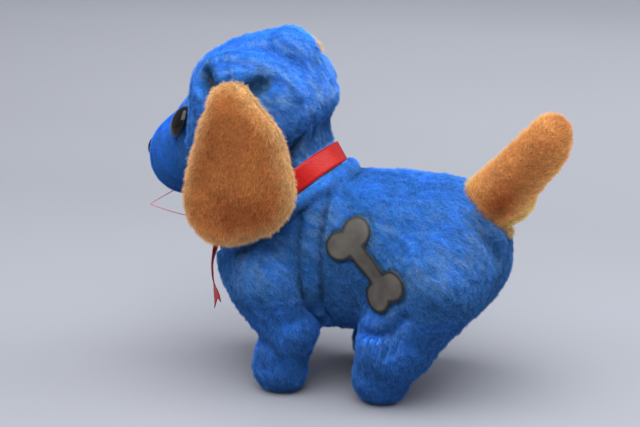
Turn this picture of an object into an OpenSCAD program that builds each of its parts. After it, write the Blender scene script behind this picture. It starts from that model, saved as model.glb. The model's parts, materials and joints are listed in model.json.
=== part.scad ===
// Walking plush puppy: soft skin over a battery-driven walking mechanism.
// Millimetres. +X is forwards (nose), +Y is the animal's left, +Z is up.
// The origin lies on the ground, under the middle of the bounding box.

/* [Plush body] */
// Radius of the chest
chest_r = 34; // [32:0.5:36]
// Radius of the rump
rump_r = 35; // [33:0.5:37]
// Half the distance between the left and the right feet
stance = 26.5; // [26:0.5:28]
// Radius of the flat sole under each foot
sole_r = 8; // [7:0.5:10]
// How far the right feet stand ahead of the left feet
stride = 16; // [12:1:18]
// Clearance between plush pieces that move past each other
plush_gap = 1.5; // [1.2:0.1:2]

/* [Head and ears] */
// Turn of the head towards the right
head_yaw = 6; // [0:1:8]
// Lean of the head towards the left
head_roll = 5; // [0:1:6]
// Thickness of an ear flap
ear_t = 8; // [6:0.5:9]
// Swing of the right ear towards the nose, in its own plane
right_ear_swing = 30; // [0:5:30]
// Diameter of an eye button
eye_d = 16; // [12:0.5:16]
// Diameter of the nose button
nose_d = 10; // [8:0.5:12]

/* [Ribbon and patch] */
// Width of the neck ribbon
ribbon_w = 10; // [8:0.5:11]
// Thickness of the neck ribbon
ribbon_t = 0.6; // [0.4:0.1:0.8]
// Length of the bone patch on the flank
bone_len = 42; // [30:1:44]

/* [Walking mechanism] */
// Half the width of the mechanism housing
housing_half_w = 17; // [16.5:0.1:17.2]
// Wall of the mechanism housing
wall = 1.8; // [1.5:0.1:2.2]
// Height of the leg axles above the ground
axle_z = 60; // [59:0.5:61]
// Radius of the steel axles
axle_r = 1.5; // [1.2:0.1:1.6]
// Swing of each leg from one side of its stroke to the other
leg_swing = 20; // [16:1:20]
// Length of the lever above each leg axle
lever_len = 17; // [15:0.5:17]
// Gear module
gear_m = 0.5; // [0.5:0.1:0.5]
// Radial clearance of every shaft in its hole
fit = 0.05; // [0.02:0.01:0.08]

/* [Batteries] */
// Diameter of a battery cell
cell_d = 14.5; // [14:0.1:14.5]
// Length of a battery cell
cell_len = 50.5; // [49:0.5:50.5]

/* [Hidden] */
$fn = 48;

// Fineness of the spheres inside a hull, and of small round plush parts
soft_fn = 24;
// Colours
blue = "#1f6fd6";
tan = "#c07a34";
red = "#b01818";
grey_plastic = "#3c3c40";
white_plastic = "#e6e2d8";
steel = "#b9bcc2";

// ---- Walking mechanism: places shared by several parts ----
front_x = 29;
hind_x = -30;
crank_x = (front_x + hind_x) / 2;
crank_z = axle_z + lever_len;
half_swing = leg_swing / 2;
// Each side's levers lean by half the swing at rest, in opposite directions
function lever_top(x, side) = [x + side * lever_len * sin(half_swing), axle_z + lever_len * cos(half_swing)];
throw_r = lever_len * sin(half_swing);
core_y0 = 18.6;
core_y1 = 22.6;
link_y0 = 23;
link_y1 = 25;
link_pin_r = 1.2;
crank_pin_r = 1;
crank_pin_gap = 0.4;

// Housing
housing_x0 = -48;
housing_x1 = 36;
housing_z0 = 53;
housing_z1 = 90;
housing_round = 4;

// Gear train, from the crankshaft back to the motor, all axes along Y
big_teeth = 40;
small_teeth = 10;
gear_gap = gear_m * (big_teeth + small_teeth) / 2;
crank_c = [crank_x, crank_z];
second_c = crank_c - gear_gap * [cos(20), sin(20)];
first_c = second_c - gear_gap * [1, 0];
motor_c = first_c - gear_gap * [cos(8), sin(8)];
face_w = 2.4;
layer_a = -13.6;
layer_b = -10.6;
layer_c = -7.6;
arbor_r = 0.75;
motor_r = 7.7;
motor_y0 = -4.2;
motor_y1 = 13.3;

// Battery bay, open at the bottom
bay_x0 = -38;
bay_x1 = 21.5;
bay_half_w = 17;
bay_z0 = 35;
bay_wall = 1.6;
cell_y = 7.6;
cell_z = 43.9;
// The bay's inside, between its end walls
bay_in_x0 = bay_x0 + bay_wall;
bay_in_x1 = bay_in_x0 + cell_len + 3;
bay_mid = (bay_in_x0 + bay_in_x1) / 2;
bay_span = bay_in_x1 - bay_in_x0;
spring_len = 1.45;
cover_t = 1.6;
cover_x0 = -36.6;
cover_x1 = 21.3;
cover_pivot_x = -37.2;
cover_knuckle_r = 1;
cover_screw_x = 19.3;
shelf_x1 = 36;
shelf_t = 1.4;
shelf_half_w = 8;
switch_x = 28;

// Collar plane: its middle, its normal (the neck's axis) and its downhill direction
collar_c = [33, 0, 89.5];
neck_tilt = 37.8;
neck_r = 31;
neck_stretch = 4;
neck_bottom = -4.7;
neck_top = 14.2;
torso_top = -5;
head_bottom = 14.5;

// Head: turned and leaned about this point
head_c = [24, 0, 104];
nod_c = [26, 0, 108];
skull_c = [44, 0, 127];
skull_r = 25;
snout_r = 12;
snout_z = 111;
snout_x1 = 84;
eye_at = [75.2, 19.5, 126];
eye_face = [0, 63, 34];
nose_at = [102, 0, 106];
muzzle_plane_x = 80;
ear_top_z = 156;
ear_y = 43;
right_ear_y = -41.5;

// Tail
tail_pivot = [-55, 0, 82.5];
tail_lean = 42.4;
tail_root_s = 14;
tail_tip_s = 68;
tail_root_r = 13.8;
tail_tip_r = 12.6;
tail_wag = 20;

// ---- Small helpers ----
// A cylinder along Y from y0 to y1 at [x, z]
module bar_y(p, r, y0, y1) {
  translate([p[0], y0, p[1]]) rotate([-90, 0, 0]) cylinder(h = y1 - y0, r = r);
}
// A box given by its low and high corners
module box(lo, hi) {
  translate(lo) cube(hi - lo);
}
// A box with round edges along Y
module round_box_y(x0, x1, z0, z1, r, y0, y1) {
  box([x0 + r, y0, z0], [x1 - r, y1, z1]);
  box([x0, y0, z0 + r], [x1, y1, z1 - r]);
  for (x = [x0 + r, x1 - r], z = [z0 + r, z1 - r]) bar_y([x, z], r, y0, y1);
}
module ball(p, r) {
  translate(p) sphere(r, $fn = soft_fn);
}
// A limb with round ends
module limb(a, b, ra, rb) {
  hull() {
    ball(a, ra);
    ball(b, rb);
  }
}
// Turns its children into the head's own pose
module head_pose() {
  translate(head_c) rotate([0, 0, -head_yaw]) rotate([-head_roll, 0, 0]) translate(-head_c) children();
}
// Puts its children on the neck's axis: +Z runs up the neck and +X runs forwards and down
module neck_frame() {
  translate(collar_c) rotate([0, neck_tilt, 0]) children();
}
// Puts its children on the tail's axis: +Z runs towards the tip
module tail_frame() {
  translate(tail_pivot) rotate([0, -tail_lean, 0]) children();
}
// Turns its children forwards about a leg axle
module swing(x, angle) {
  translate([x, 0, axle_z]) rotate([0, -angle, 0]) translate([-x, 0, -axle_z]) children();
}
// A flat bar with round ends between two points of the XZ plane
module flat_link(a, b, half_w, y0, y1) {
  run = b - a;
  bar_y(a, half_w, y0, y1);
  bar_y(b, half_w, y0, y1);
  translate([a[0], y0, a[1]]) rotate([0, -atan2(run[1], run[0]), 0]) translate([0, 0, -half_w])
    cube([norm(run), y1 - y0, 2 * half_w]);
}
// A tube along a list of points
function flat(list) = [for (row = list) for (item = row) item];
function unit(v) = v / norm(v);
module tube(points, r, sides = 8) {
  last = len(points) - 1;
  ways = [for (i = [0:last]) unit(points[min(i + 1, last)] - points[max(i - 1, 0)])];
  rings = [for (i = [0:last])
    let (
      other = abs(ways[i][1]) > 0.9 ? [1, 0, 0] : [0, 1, 0],
      side = unit(cross(ways[i], other)),
      up = cross(side, ways[i])
    )
    [for (k = [0:sides - 1]) points[i] + r * (cos(360 * k / sides) * side + sin(360 * k / sides) * up)]];
  walls = [for (i = [0:last - 1], k = [0:sides - 1])
    let (n = (k + 1) % sides)
    each [[i * sides + k, (i + 1) * sides + k, (i + 1) * sides + n],
          [i * sides + k, (i + 1) * sides + n, i * sides + n]]];
  polyhedron(points = flat(rings), faces = concat(walls,
    [[for (k = [0:sides - 1]) k]],
    [[for (k = [sides - 1:-1:0]) last * sides + k]]));
}

// ---- Gears ----
// Outline of a spur gear with straight-flanked teeth that leave running backlash
function tooth(a, step, r_root, r_tip) = [
  for (edge = [[-0.30, r_root], [-0.13, r_tip], [0.13, r_tip], [0.30, r_root]])
    edge[1] * [cos(a + edge[0] * step), sin(a + edge[0] * step)]];
module gear(p, teeth, phase, y0, y1) {
  r = gear_m * teeth / 2;
  step = 360 / teeth;
  root_r = r - 1.2 * gear_m;
  tip_r = r + 0.85 * gear_m;
  outline = flat([for (k = [0:teeth - 1]) tooth(phase + k * step, step, root_r, tip_r)]);
  translate([p[0], y1, p[1]]) rotate([90, 0, 0]) linear_extrude(y1 - y0) polygon(outline);
}
// Tooth phase that meshes with a gear at q, seen from the gear at p
function bearing(p, q) = atan2(q[1] - p[1], q[0] - p[0]);
// The small gear points a tooth at the big gear, and the big gear points a gap at the small one
function big_phase(p, q) = bearing(p, q) + 180 / big_teeth;
first_phase = big_phase(first_c, motor_c);
second_phase = big_phase(second_c, first_c);
final_phase = big_phase(crank_c, second_c);

module compound_gear(p, big, small, y0, small_y0) {
  difference() {
    union() {
      gear(p, big_teeth, big, y0, y0 + face_w);
      gear(p, small_teeth, small, small_y0, y0);
    }
    bar_y(p, arbor_r + fit, small_y0 - 1, y0 + face_w + 1);
  }
}
module motor_pinion() {
  color("gold") difference() {
    gear(motor_c, small_teeth, bearing(motor_c, first_c), layer_c, layer_c + face_w);
    bar_y(motor_c, arbor_r + fit, layer_c - 1, layer_c + face_w + 1);
  }
}
module first_gear() {
  color("white") compound_gear(first_c, first_phase, bearing(first_c, second_c), layer_c, layer_b);
}
module second_gear() {
  color("white") compound_gear(second_c, second_phase, bearing(second_c, crank_c), layer_b, layer_a);
}
module final_gear() {
  color("white") difference() {
    gear(crank_c, big_teeth, final_phase, layer_a, layer_a + face_w);
    bar_y(crank_c, axle_r + fit, layer_a - 1, layer_a + face_w + 1);
  }
}
module gear_arbors() {
  color(steel) for (p = [first_c, second_c]) bar_y(p, arbor_r, -housing_half_w + wall - 1, -2);
}
module drive_motor() {
  color(steel) {
    bar_y(motor_c, motor_r, motor_y0, motor_y1);
    bar_y(motor_c, 2.5, motor_y1, motor_y1 + 1);
    bar_y(motor_c, 2.2, motor_y0 - 0.6, motor_y0);
  }
}
module motor_shaft() {
  color(steel) bar_y(motor_c, arbor_r, layer_c - 0.4, motor_y0 - 0.62);
}

// ---- Crankshaft, links and leg cores ----
module crankshaft() {
  color(steel) {
    bar_y(crank_c, axle_r, -core_y0, core_y0);
    for (side = [-1, 1]) mirror([0, side < 0 ? 1 : 0, 0]) {
      bar_y(crank_c, 5.5, core_y0, core_y0 + 2);
      bar_y(crank_c + [side * throw_r, 0], crank_pin_r, core_y0 + 2, link_y0 - crank_pin_gap);
    }
  }
}
// side is 1 for left and -1 for right
module walking_link(side) {
  rear = lever_top(hind_x, side);
  front = lever_top(front_x, side);
  mid = (rear + front) / 2;
  yoke = throw_r + crank_pin_r + 0.4;
  color(white_plastic) mirror([0, side < 0 ? 1 : 0, 0]) {
    difference() {
      union() {
        flat_link(rear, front, 2, link_y0, link_y1);
        round_box_y(mid[0] - 3.5, mid[0] + 3.5, mid[1] - yoke - 1.6, mid[1] + yoke + 1.6, 1.5,
          link_y0, link_y1);
      }
      flat_link(mid - [0, yoke - crank_pin_r], mid + [0, yoke - crank_pin_r], crank_pin_r + 0.1,
        link_y0 - 1, link_y1 + 1);
    }
    for (end = [rear, front]) bar_y(end, link_pin_r, core_y0 + 0.6, link_y0);
  }
}
module walking_link_left() { walking_link(1); }
module walking_link_right() { walking_link(-1); }

// A leg's own measures: [axle x, foot x, knee x, foot radius, knee radius, hip, hip radius]
function front_leg(lead) = [front_x, 25.5 + lead, 24 + 0.6 * lead, 12.8, 14.5, [30, 22, 52], 20.5];
function hind_leg(lead) = [hind_x, -24 + lead, -33 + 0.5 * lead, 13.2, 16.5, [-47, 21, 60], 25.5];
foot_z = 14;
knee_z = 30;
// Height at which a leg's sleeve ends, and radius of the round joint above it
sleeve_top = 44;
hip_joint_r = 18;

// Outline of a flat bar with round ends, in a plane
module bar_outline(a, b, half_w) {
  run = b - a;
  for (end = [a, b]) translate(end) circle(half_w);
  translate(a) rotate(atan2(run[1], run[0])) translate([0, -half_w]) square([norm(run), 2 * half_w]);
}
module leg_core(leg, side) {
  top = lever_top(leg[0], side);
  axle = [leg[0], axle_z];
  foot = [leg[1], foot_z - 3];
  color(white_plastic) mirror([0, side < 0 ? 1 : 0, 0]) {
    translate([0, core_y1, 0]) rotate([90, 0, 0]) linear_extrude(core_y1 - core_y0) difference() {
      union() {
        bar_outline(axle, top, 2.8);
        bar_outline(axle, foot, 4.5);
        translate(axle) circle(5.5);
      }
      translate(axle) circle(axle_r + fit);
      translate(top) circle(link_pin_r + fit);
    }
    box([leg[1] - 6, core_y0 + 0.5, 4], [leg[1] + 6, stance + 5, 12]);
  }
}
module leg_core_front_left() { leg_core(front_leg(0), 1); }
module leg_core_hind_left() { leg_core(hind_leg(0), 1); }
module leg_core_front_right() { leg_core(front_leg(stride), -1); }
module leg_core_hind_right() { leg_core(hind_leg(stride), -1); }

module leg_axles() {
  color(steel) for (x = [front_x, hind_x]) bar_y([x, axle_z], axle_r, -core_y1 - 1.6, core_y1 + 1.6);
}
module axle_washers() {
  color(steel) for (x = [front_x, hind_x], side = [0, 1]) mirror([0, side, 0]) difference() {
    bar_y([x, axle_z], 3.5, core_y1 + 0.2, core_y1 + 1.2);
    bar_y([x, axle_z], axle_r + 0.02, core_y1, core_y1 + 2);
  }
}

// ---- Leg plush ----
// Foot, shin and thigh of a left leg, grown by g
module leg_shape(leg, g) {
  foot = [leg[1], stance, foot_z];
  knee = [leg[2], stance, knee_z];
  hull() {
    ball(foot, leg[3] + g);
    ball(knee, leg[4] + g);
    translate([leg[1], stance, -g]) cylinder(h = 3, r = sole_r + g, $fn = soft_fn);
  }
  limb(knee, leg[5], leg[4] + g, leg[6] + g);
}
// The sleeve that swings with a leg: everything below the hip joint
module sleeve(leg, g) {
  difference() {
    leg_shape(leg, g);
    box([-120, -10, sleeve_top + g], [120, 80, 120]);
    bar_y([leg[0], axle_z], hip_joint_r + plush_gap - g, -10, 80);
    box([-120, -10, -20], [120, bay_half_w + 0.6 - g, 120]);
  }
}
// Room for the flat bar of a leg core
module core_slot(axle, foot) {
  run = foot - axle;
  translate([axle[0], core_y0 - 0.4, axle[1]]) rotate([0, -atan2(run[1], run[0]), 0]) translate([0, 0, -4.9])
    cube([norm(run) + 3, core_y1 - core_y0 + 0.8, 9.8]);
}
module leg_plush(leg, side) {
  axle = [leg[0], axle_z];
  foot = [leg[1], foot_z - 3];
  color(blue) mirror([0, side < 0 ? 1 : 0, 0]) difference() {
    sleeve(leg, 0);
    core_slot(axle, foot);
    box([leg[1] - 6.4, core_y0 - 0.4, 3.6], [leg[1] + 6.4, stance + 5.4, 12.4]);
    box([-120, -10, -10], [120, 80, 0]);
  }
}
module leg_plush_front_left() { leg_plush(front_leg(0), 1); }
module leg_plush_hind_left() { leg_plush(hind_leg(0), 1); }
module leg_plush_front_right() { leg_plush(front_leg(stride), -1); }
module leg_plush_hind_right() { leg_plush(hind_leg(stride), -1); }

// ---- Body plush ----
module torso_shape(g) {
  limb([31, 0, 64], [-44, 0, 69], chest_r + g, rump_r + g);
  limb([37, 0, 60], [26, 0, 90], 27 + g, 28 + g);
  for (side = [0, 1]) mirror([0, side, 0]) for (leg = [front_leg(0), hind_leg(0)]) difference() {
    limb([leg[2], stance, knee_z], leg[5], leg[4] + g, leg[6] + g);
    box([-120, -80, -20], [120, 80, sleeve_top]);
  }
}
// Room for a sleeve through its whole stroke, and for its core
module leg_room(leg, side) {
  difference() {
    hull() for (part = [0, 0.5, 1]) swing(leg[0], side * part * leg_swing) sleeve(leg, plush_gap);
    bar_y([leg[0], axle_z], hip_joint_r, -10, 80);
  }
  box([leg[0] - 15, core_y0 - 0.8, 34], [leg[0] + 15, core_y1 + 0.8, 64]);
}
module inner_room() {
  hull() {
    box([-51, -18, 42], [47, 18, 92]);
    box([-51, -27, 48], [47, 27, 82]);
  }
  box([bay_x0 - 2.4, -bay_half_w - 0.8, 20], [bay_x1 + 2, bay_half_w + 0.8, 60]);
  box([bay_x1, -shelf_half_w - 1, bay_z0 - 0.8], [shelf_x1 + 1.5, shelf_half_w + 1, 60]);
  box([switch_x - 3.5, -5, 20], [switch_x + 3.5, 5, 40]);
  box([12, -11, 80], [45, 11, 100]);
  tail_frame() {
    sphere(9.5, $fn = soft_fn);
    cylinder(h = 20, r = 4, $fn = soft_fn);
  }
}
module body_plush() {
  color(blue) difference() {
    torso_shape(0);
    inner_room();
    neck_frame() translate([-80, -80, torso_top]) cube([160, 160, 100]);
    hull() for (a = [-1, 1]) tail_frame() rotate([a * (tail_wag + 2), 0, 0]) tail_outline(plush_gap);
    leg_room(front_leg(0), 1);
    leg_room(hind_leg(0), 1);
    mirror([0, 1, 0]) leg_room(front_leg(stride), -1);
    mirror([0, 1, 0]) leg_room(hind_leg(stride), -1);
  }
}
module bone_outline() {
  knob = 0.16 * bone_len;
  reach = bone_len / 2 - knob;
  square([2 * reach, 1.3 * knob], center = true);
  for (end = [-1, 1], lobe = [-1, 1])
    translate([end * reach, lobe * 0.72 * knob]) circle(knob, $fn = soft_fn);
}
module bone_patch() {
  color(grey_plastic) intersection() {
    translate([-20, 15, 69]) rotate([0, -47, 0]) rotate([90, 0, 180]) linear_extrude(40) bone_outline();
    difference() {
      torso_shape(1);
      torso_shape(0.15);
    }
  }
}

// ---- Tail ----
module tail_outline(g) {
  limb([0, 0, tail_root_s], [0, 0, tail_tip_s - tail_tip_r], tail_root_r + g, tail_tip_r + g);
}
module tail_plush() {
  color(tan) tail_frame() difference() {
    tail_outline(0);
    sphere(10.5, $fn = soft_fn);
    cylinder(h = 49, r = 1.9, $fn = soft_fn);
  }
}
module tail_core() {
  color(white_plastic) tail_frame() difference() {
    union() {
      rotate([0, 90, 0]) translate([0, 0, -2.8]) cylinder(h = 5.6, r = 3.5);
      cylinder(h = 48, r = 1.5);
    }
    rotate([0, 90, 0]) translate([0, 0, -4]) cylinder(h = 8, r = 1.2 + fit);
  }
}
module tail_pin() {
  color(steel) tail_frame() rotate([0, 90, 0]) translate([0, 0, -5]) cylinder(h = 10, r = 1.2);
}
// A fork on the rear of the housing that holds the tail's pin
module tail_bracket() {
  color(white_plastic) difference() {
    union() {
      tail_frame() for (end = [-4.9, 3.1])
        rotate([0, 90, 0]) translate([0, 0, end]) cylinder(h = 1.8, r = 3.4);
      box([-52, -3.4, 75], [housing_x0, 3.4, 88]);
      tail_frame() {
        box([-4.9, -3.4, -5.6], [4.9, 3.4, -4]);
        for (end = [-4.9, 3.1]) box([end, -3.4, -4.5], [end + 1.8, 3.4, 0]);
      }
    }
    tail_frame() rotate([0, 90, 0]) translate([0, 0, -6]) cylinder(h = 12, r = 1.2 + fit);
    tail_frame() box([-3.05, -4, -4], [3.05, 4, 9]);
    box([housing_x0, -20, 0], [40, 20, 120]);
  }
}

// ---- Housing ----
screw_places = [[-43, 57], [-43, 84], [31, 85.5], [12, 58]];
screw_r = 1;
boss_r = 2.4;
module chassis_half(side) {
  color(grey_plastic) mirror([0, side < 0 ? 1 : 0, 0]) difference() {
    union() {
      difference() {
        round_box_y(housing_x0, housing_x1, housing_z0, housing_z1, housing_round, 0.02, housing_half_w);
        round_box_y(housing_x0 + wall, housing_x1 - wall, housing_z0 + wall, housing_z1 - wall,
          housing_round - wall, -1, housing_half_w - wall);
      }
      for (p = screw_places) bar_y(p, boss_r, 0.02, housing_half_w - 1);
      for (x = [front_x, hind_x]) bar_y([x, axle_z], 3.2, housing_half_w - 6, housing_half_w);
      bar_y(crank_c, 3.2, side < 0 ? 14 : 8, housing_half_w);
      if (side < 0) for (p = [first_c, second_c]) bar_y(p, 1.8, 13.8, housing_half_w - 1);
      if (side > 0) difference() {
        bar_y(motor_c, motor_r + 1.8, 6, 12);
        bar_y(motor_c, motor_r + 0.1, 5, 13);
        box([housing_x0 - 5, 0, 50], [housing_x0 + 0.5, 20, 100]);
      }
    }
    for (x = [front_x, hind_x]) bar_y([x, axle_z], axle_r + fit, -1, 20);
    bar_y(crank_c, axle_r + fit, -1, 20);
    for (p = screw_places) {
      bar_y(p, screw_r + 0.15, -1, side < 0 ? 20 : 10);
      if (side < 0) bar_y(p, 2, housing_half_w - 2.2, 20);
    }
    if (side < 0) for (p = [first_c, second_c]) bar_y(p, arbor_r + 0.02, 10, housing_half_w - wall + 1.2);
    if (side < 0) for (k = [-2:2]) box([16 + abs(k), 10, 71.8 + 3.6 * k], [28 - abs(k), 20, 73.2 + 3.6 * k]);
    if (side > 0) box([7, 4, 50], [13, 10, 56]);
  }
}
module chassis_left() { chassis_half(1); }
module chassis_right() { chassis_half(-1); }
module screw_y(p, y_head, y_tip) {
  bar_y(p, 1.9, y_head, y_head + 1.4);
  bar_y(p, screw_r, y_head + 1.4, y_tip);
}
module chassis_screws() {
  color(steel) for (p = screw_places) screw_y(p, -housing_half_w + 0.7, 9);
}

// ---- Batteries, cover and switch ----
module battery_box() {
  color(grey_plastic) difference() {
    union() {
      box([bay_x0, -bay_half_w, bay_z0], [bay_x1, bay_half_w, housing_z0 - 0.02]);
      box([bay_x1 - 1, -shelf_half_w, bay_z0], [shelf_x1, shelf_half_w, bay_z0 + shelf_t]);
    }
    box([bay_in_x0, -bay_half_w + bay_wall, bay_z0 - 1],
      [bay_in_x1, bay_half_w - bay_wall, housing_z0 - bay_wall]);
    bar_y([cover_pivot_x, bay_z0], cover_knuckle_r + fit, 7.8, 12.2);
    bar_y([cover_pivot_x, bay_z0], cover_knuckle_r + fit, -12.2, -7.8);
    translate([cover_screw_x, 0, bay_z0 - 1]) cylinder(h = 8, r = 1.5);
    box([switch_x - 2.2, -3.4, 30], [switch_x + 2.2, 3.4, 40]);
    box([7, 4, 50], [13, 10, 56]);
  }
}
// A cell whose raised end touches the contact on the side that it points to
module cell(side) {
  nub = 1.2;
  flat_end = bay_mid + side * (bay_span / 2 - 0.5 - cell_len);
  translate([flat_end, side * cell_y, cell_z]) rotate([0, side * 90, 0]) {
    cylinder(h = cell_len - nub, r = cell_d / 2);
    translate([0, 0, cell_len - nub]) cylinder(h = nub, r = 2.6);
  }
}
module batteries() {
  color("#c9a227") for (side = [-1, 1]) cell(side);
}
module battery_contacts() {
  color(steel) for (end = [-1, 1], side = [-1, 1])
    translate([bay_mid + end * (bay_span / 2 - 0.25) - 0.15, side * cell_y - 4, cell_z - 5])
      cube([0.3, 8, 10]);
}
// A conical spring behind each cell's flat end
function spring_points(side) = [for (k = [0:48])
  let (a = 90 * k / 4, r = 4.2 - 1.6 * k / 48, x = 0.75 + spring_len * k / 48)
  [bay_mid - side * (bay_span / 2 - x), side * cell_y + r * cos(a), cell_z + r * sin(a)]];
module battery_springs() {
  color(steel) for (side = [-1, 1]) tube(spring_points(side), 0.25, 6);
}
module battery_cover() {
  color(grey_plastic) {
    difference() {
      union() {
        box([cover_x0, -bay_half_w + 0.2, bay_z0 - cover_t], [cover_x1, bay_half_w - 0.2, bay_z0 - 0.02]);
        for (y = [-12, 8]) box([cover_pivot_x, y, bay_z0 - cover_t], [cover_x0 + 1, y + 4, bay_z0 - 0.5]);
      }
      translate([cover_screw_x, 0, bay_z0 - 4]) cylinder(h = 8, r = 1.2);
      translate([cover_screw_x, 0, bay_z0 - 2.6]) cylinder(h = 1.8, r = 2.2);
      for (k = [0:3]) box([-30 + 4 * k, -9, bay_z0 - cover_t - 1], [-29 + 4 * k, 9, bay_z0 - cover_t + 0.5]);
    }
    for (y = [-12, 8]) bar_y([cover_pivot_x, bay_z0], cover_knuckle_r, y, y + 4);
  }
}
module cover_screw() {
  color(steel) translate([cover_screw_x, 0, bay_z0 - cover_t]) {
    cylinder(h = 0.75, r = 1.9);
    cylinder(h = 4.2, r = 1);
  }
}
module switch_body() {
  color(steel) difference() {
    box([switch_x - 3, -5, bay_z0 + shelf_t + 0.02], [switch_x + 3, 5, bay_z0 + shelf_t + 4.5]);
    box([switch_x - 1.8, -3.4, bay_z0], [switch_x + 1.8, 3.4, bay_z0 + shelf_t + 2.5]);
  }
}
module switch_knob() {
  color("black") {
    box([switch_x - 1.4, -3.1, bay_z0 + shelf_t + 0.6], [switch_x + 1.4, 0.9, bay_z0 + shelf_t + 2.3]);
    box([switch_x - 1.2, -2.6, bay_z0 - 2.4], [switch_x + 1.2, 0.4, bay_z0 + shelf_t + 0.7]);
  }
}

// ---- Electronics ----
module circuit_board() {
  color("darkgreen") box([13, 8.6, 64], [32.5, 9.8, 82.4]);
  color("black") {
    translate([20, 8.6, 76]) rotate([90, 0, 0]) cylinder(h = 1.4, r = 4.5);
    box([25.5, 6.6, 67], [30.5, 8.6, 70]);
    translate([16, 8.6, 68]) rotate([90, 0, 0]) cylinder(h = 6, r = 2);
  }
}
module speaker() {
  color("dimgray") {
    bar_y([22.2, 72.5], 10.7, -housing_half_w + wall + 0.2, -13.2);
    bar_y([22.2, 72.5], 8.5, -13.2, -11);
    bar_y([22.2, 72.5], 5.5, -11, -8.6);
  }
}
wire_r = 0.6;
wire_routes = [
  [[-37, 14, 76], [-34, 14, 79], [-28, 13.6, 82], [-16, 13.2, 84], [-2, 12.6, 85], [7, 11.6, 84],
    [14, 10.6, 81]],
  [[-36, 14, 66], [-30, 14, 67.5], [-20, 13.6, 68], [-8, 13.4, 68], [4, 12.8, 69], [11, 11.6, 71],
    [15, 10.6, 72]],
  [[26, -7.7, 78], [26.5, -5, 81], [26.5, 0, 82.5], [26, 5, 82], [25.5, 7.8, 80.5]],
  [[20, -7.7, 70], [19.5, -4, 66], [19.6, 0, 65], [20, 5, 66.4], [21, 7.8, 68]],
  [[8.4, 7, 51.6], [8.2, 7, 55.5], [7.6, 7.6, 58], [8.2, 8.6, 61], [11.4, 10.2, 64.6], [15, 10.6, 67]],
  [[28, 0, 41.2], [27, 0.4, 44], [23, 3, 50], [22.4, 4, 52.6]]
];
module wiring() {
  color("red") for (route = wire_routes) tube(route, wire_r);
}

// ---- Neck ----
// An upright neck section between two heights on the neck's axis
module neck_section(r, z0, z1) {
  hull() for (side = [-1, 1]) translate([side * neck_stretch, 0, z0]) cylinder(h = z1 - z0, r = r, $fn = 40);
}
module neck_plush() {
  color(blue) neck_frame() difference() {
    neck_section(neck_r, neck_bottom, neck_top);
    neck_section(neck_r - 9, neck_bottom - 1, neck_top + 1);
  }
}
module ribbon_tail(lean, y) {
  translate([66.8, y, 62]) rotate([lean, 0, 0]) rotate([90, 180, 90]) linear_extrude(ribbon_t)
    polygon([[-ribbon_w / 2, 0], [ribbon_w / 2, 0], [ribbon_w / 2, 30], [0, 25], [-ribbon_w / 2, 30]]);
}
module neck_ribbon() {
  color(red) {
    neck_frame() difference() {
      neck_section(neck_r + 0.3 + ribbon_t, -ribbon_w / 2 + 0.4, ribbon_w / 2 + 0.4);
      neck_section(neck_r + 0.3, -ribbon_w, ribbon_w);
    }
    hull() {
      ball([64.4, 3.5, 67.3], 3.2);
      ball([64.4, -3.5, 67.3], 3.2);
      ball([66, 0, 62.5], 3.2);
    }
    ribbon_tail(8, 3.5);
    ribbon_tail(-8, -3.5);
  }
}
// Two cheeks on top of the housing that carry the nod pin
module neck_bracket() {
  color(white_plastic) difference() {
    union() {
      box([14, -8.6, housing_z1 + 0.02], [34, 8.6, housing_z1 + 2]);
      for (y = [-8.6, 6.2]) {
        flat_link([24, housing_z1 + 2], [nod_c[0], nod_c[2]], 4, y, y + 2.4);
      }
    }
    bar_y([nod_c[0], nod_c[2]], axle_r + fit, -10, 10);
    box([0, -20, 80], [50, 20, housing_z1 + 0.02]);
  }
}
module neck_pin() {
  color(steel) bar_y([nod_c[0], nod_c[2]], axle_r, -9.4, 9.4);
}

// ---- Head ----
module skull_shape(r, snout, x1) {
  translate(skull_c) sphere(r);
  translate([skull_c[0], 0, snout_z]) rotate([0, 90, 0]) cylinder(h = x1 - skull_c[0], r = snout);
}
skull_cut_z = 109;
skull_screw_places = [[30, 138], [56, 138], [76, 111]];
module skull_half(side) {
  color(white_plastic) head_pose() mirror([0, side < 0 ? 1 : 0, 0]) difference() {
    union() {
      difference() {
        skull_shape(skull_r, snout_r, snout_x1);
        skull_shape(skull_r - 1.6, snout_r - 1.6, snout_x1 - 1.6);
      }
      for (k = [0, 1]) bar_y(skull_screw_places[k], 2.4, 0, 15);
      bar_y(skull_screw_places[2], 2.4, 0, 11);
    }
    box([-20, -60, 60], [58, 60, skull_cut_z]);
    box([-20, -12, 60], [34, 12, 116]);
    box([-20, -60, 60], [120, 0.02, 180]);
    for (k = [0, 1, 2]) bar_y(skull_screw_places[k], screw_r + 0.15, -1, side < 0 ? 40 : 8);
    if (side < 0) for (k = [0, 1, 2]) bar_y(skull_screw_places[k], 2.1, k == 2 ? 9 : 14, 40);
  }
}
module skull_left() { skull_half(1); }
module skull_right() { skull_half(-1); }
module skull_screws() {
  color(steel) head_pose() for (k = [0, 1, 2]) screw_y(skull_screw_places[k], k == 2 ? -10.4 : -15.4, 7);
}
// The lever that turns on the nod pin and holds the skull
module head_carrier() {
  color(grey_plastic) difference() {
    union() {
      bar_y([nod_c[0], nod_c[2]], 4.6, -5.6, 5.6);
      hull() {
        bar_y([nod_c[0], nod_c[2]], 3.4, -5, 5);
        head_pose() translate([skull_c[0] - 4, 0, skull_cut_z + 1]) cylinder(h = 1, r = 6, $fn = 32);
      }
      head_pose() difference() {
        translate([skull_c[0], 0, skull_cut_z + 0.4]) cylinder(h = 2, r = 15.1);
        box([0, -20, 100], [34, 20, 120]);
      }
    }
    bar_y([nod_c[0], nod_c[2]], axle_r + fit, -10, 10);
  }
}

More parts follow.
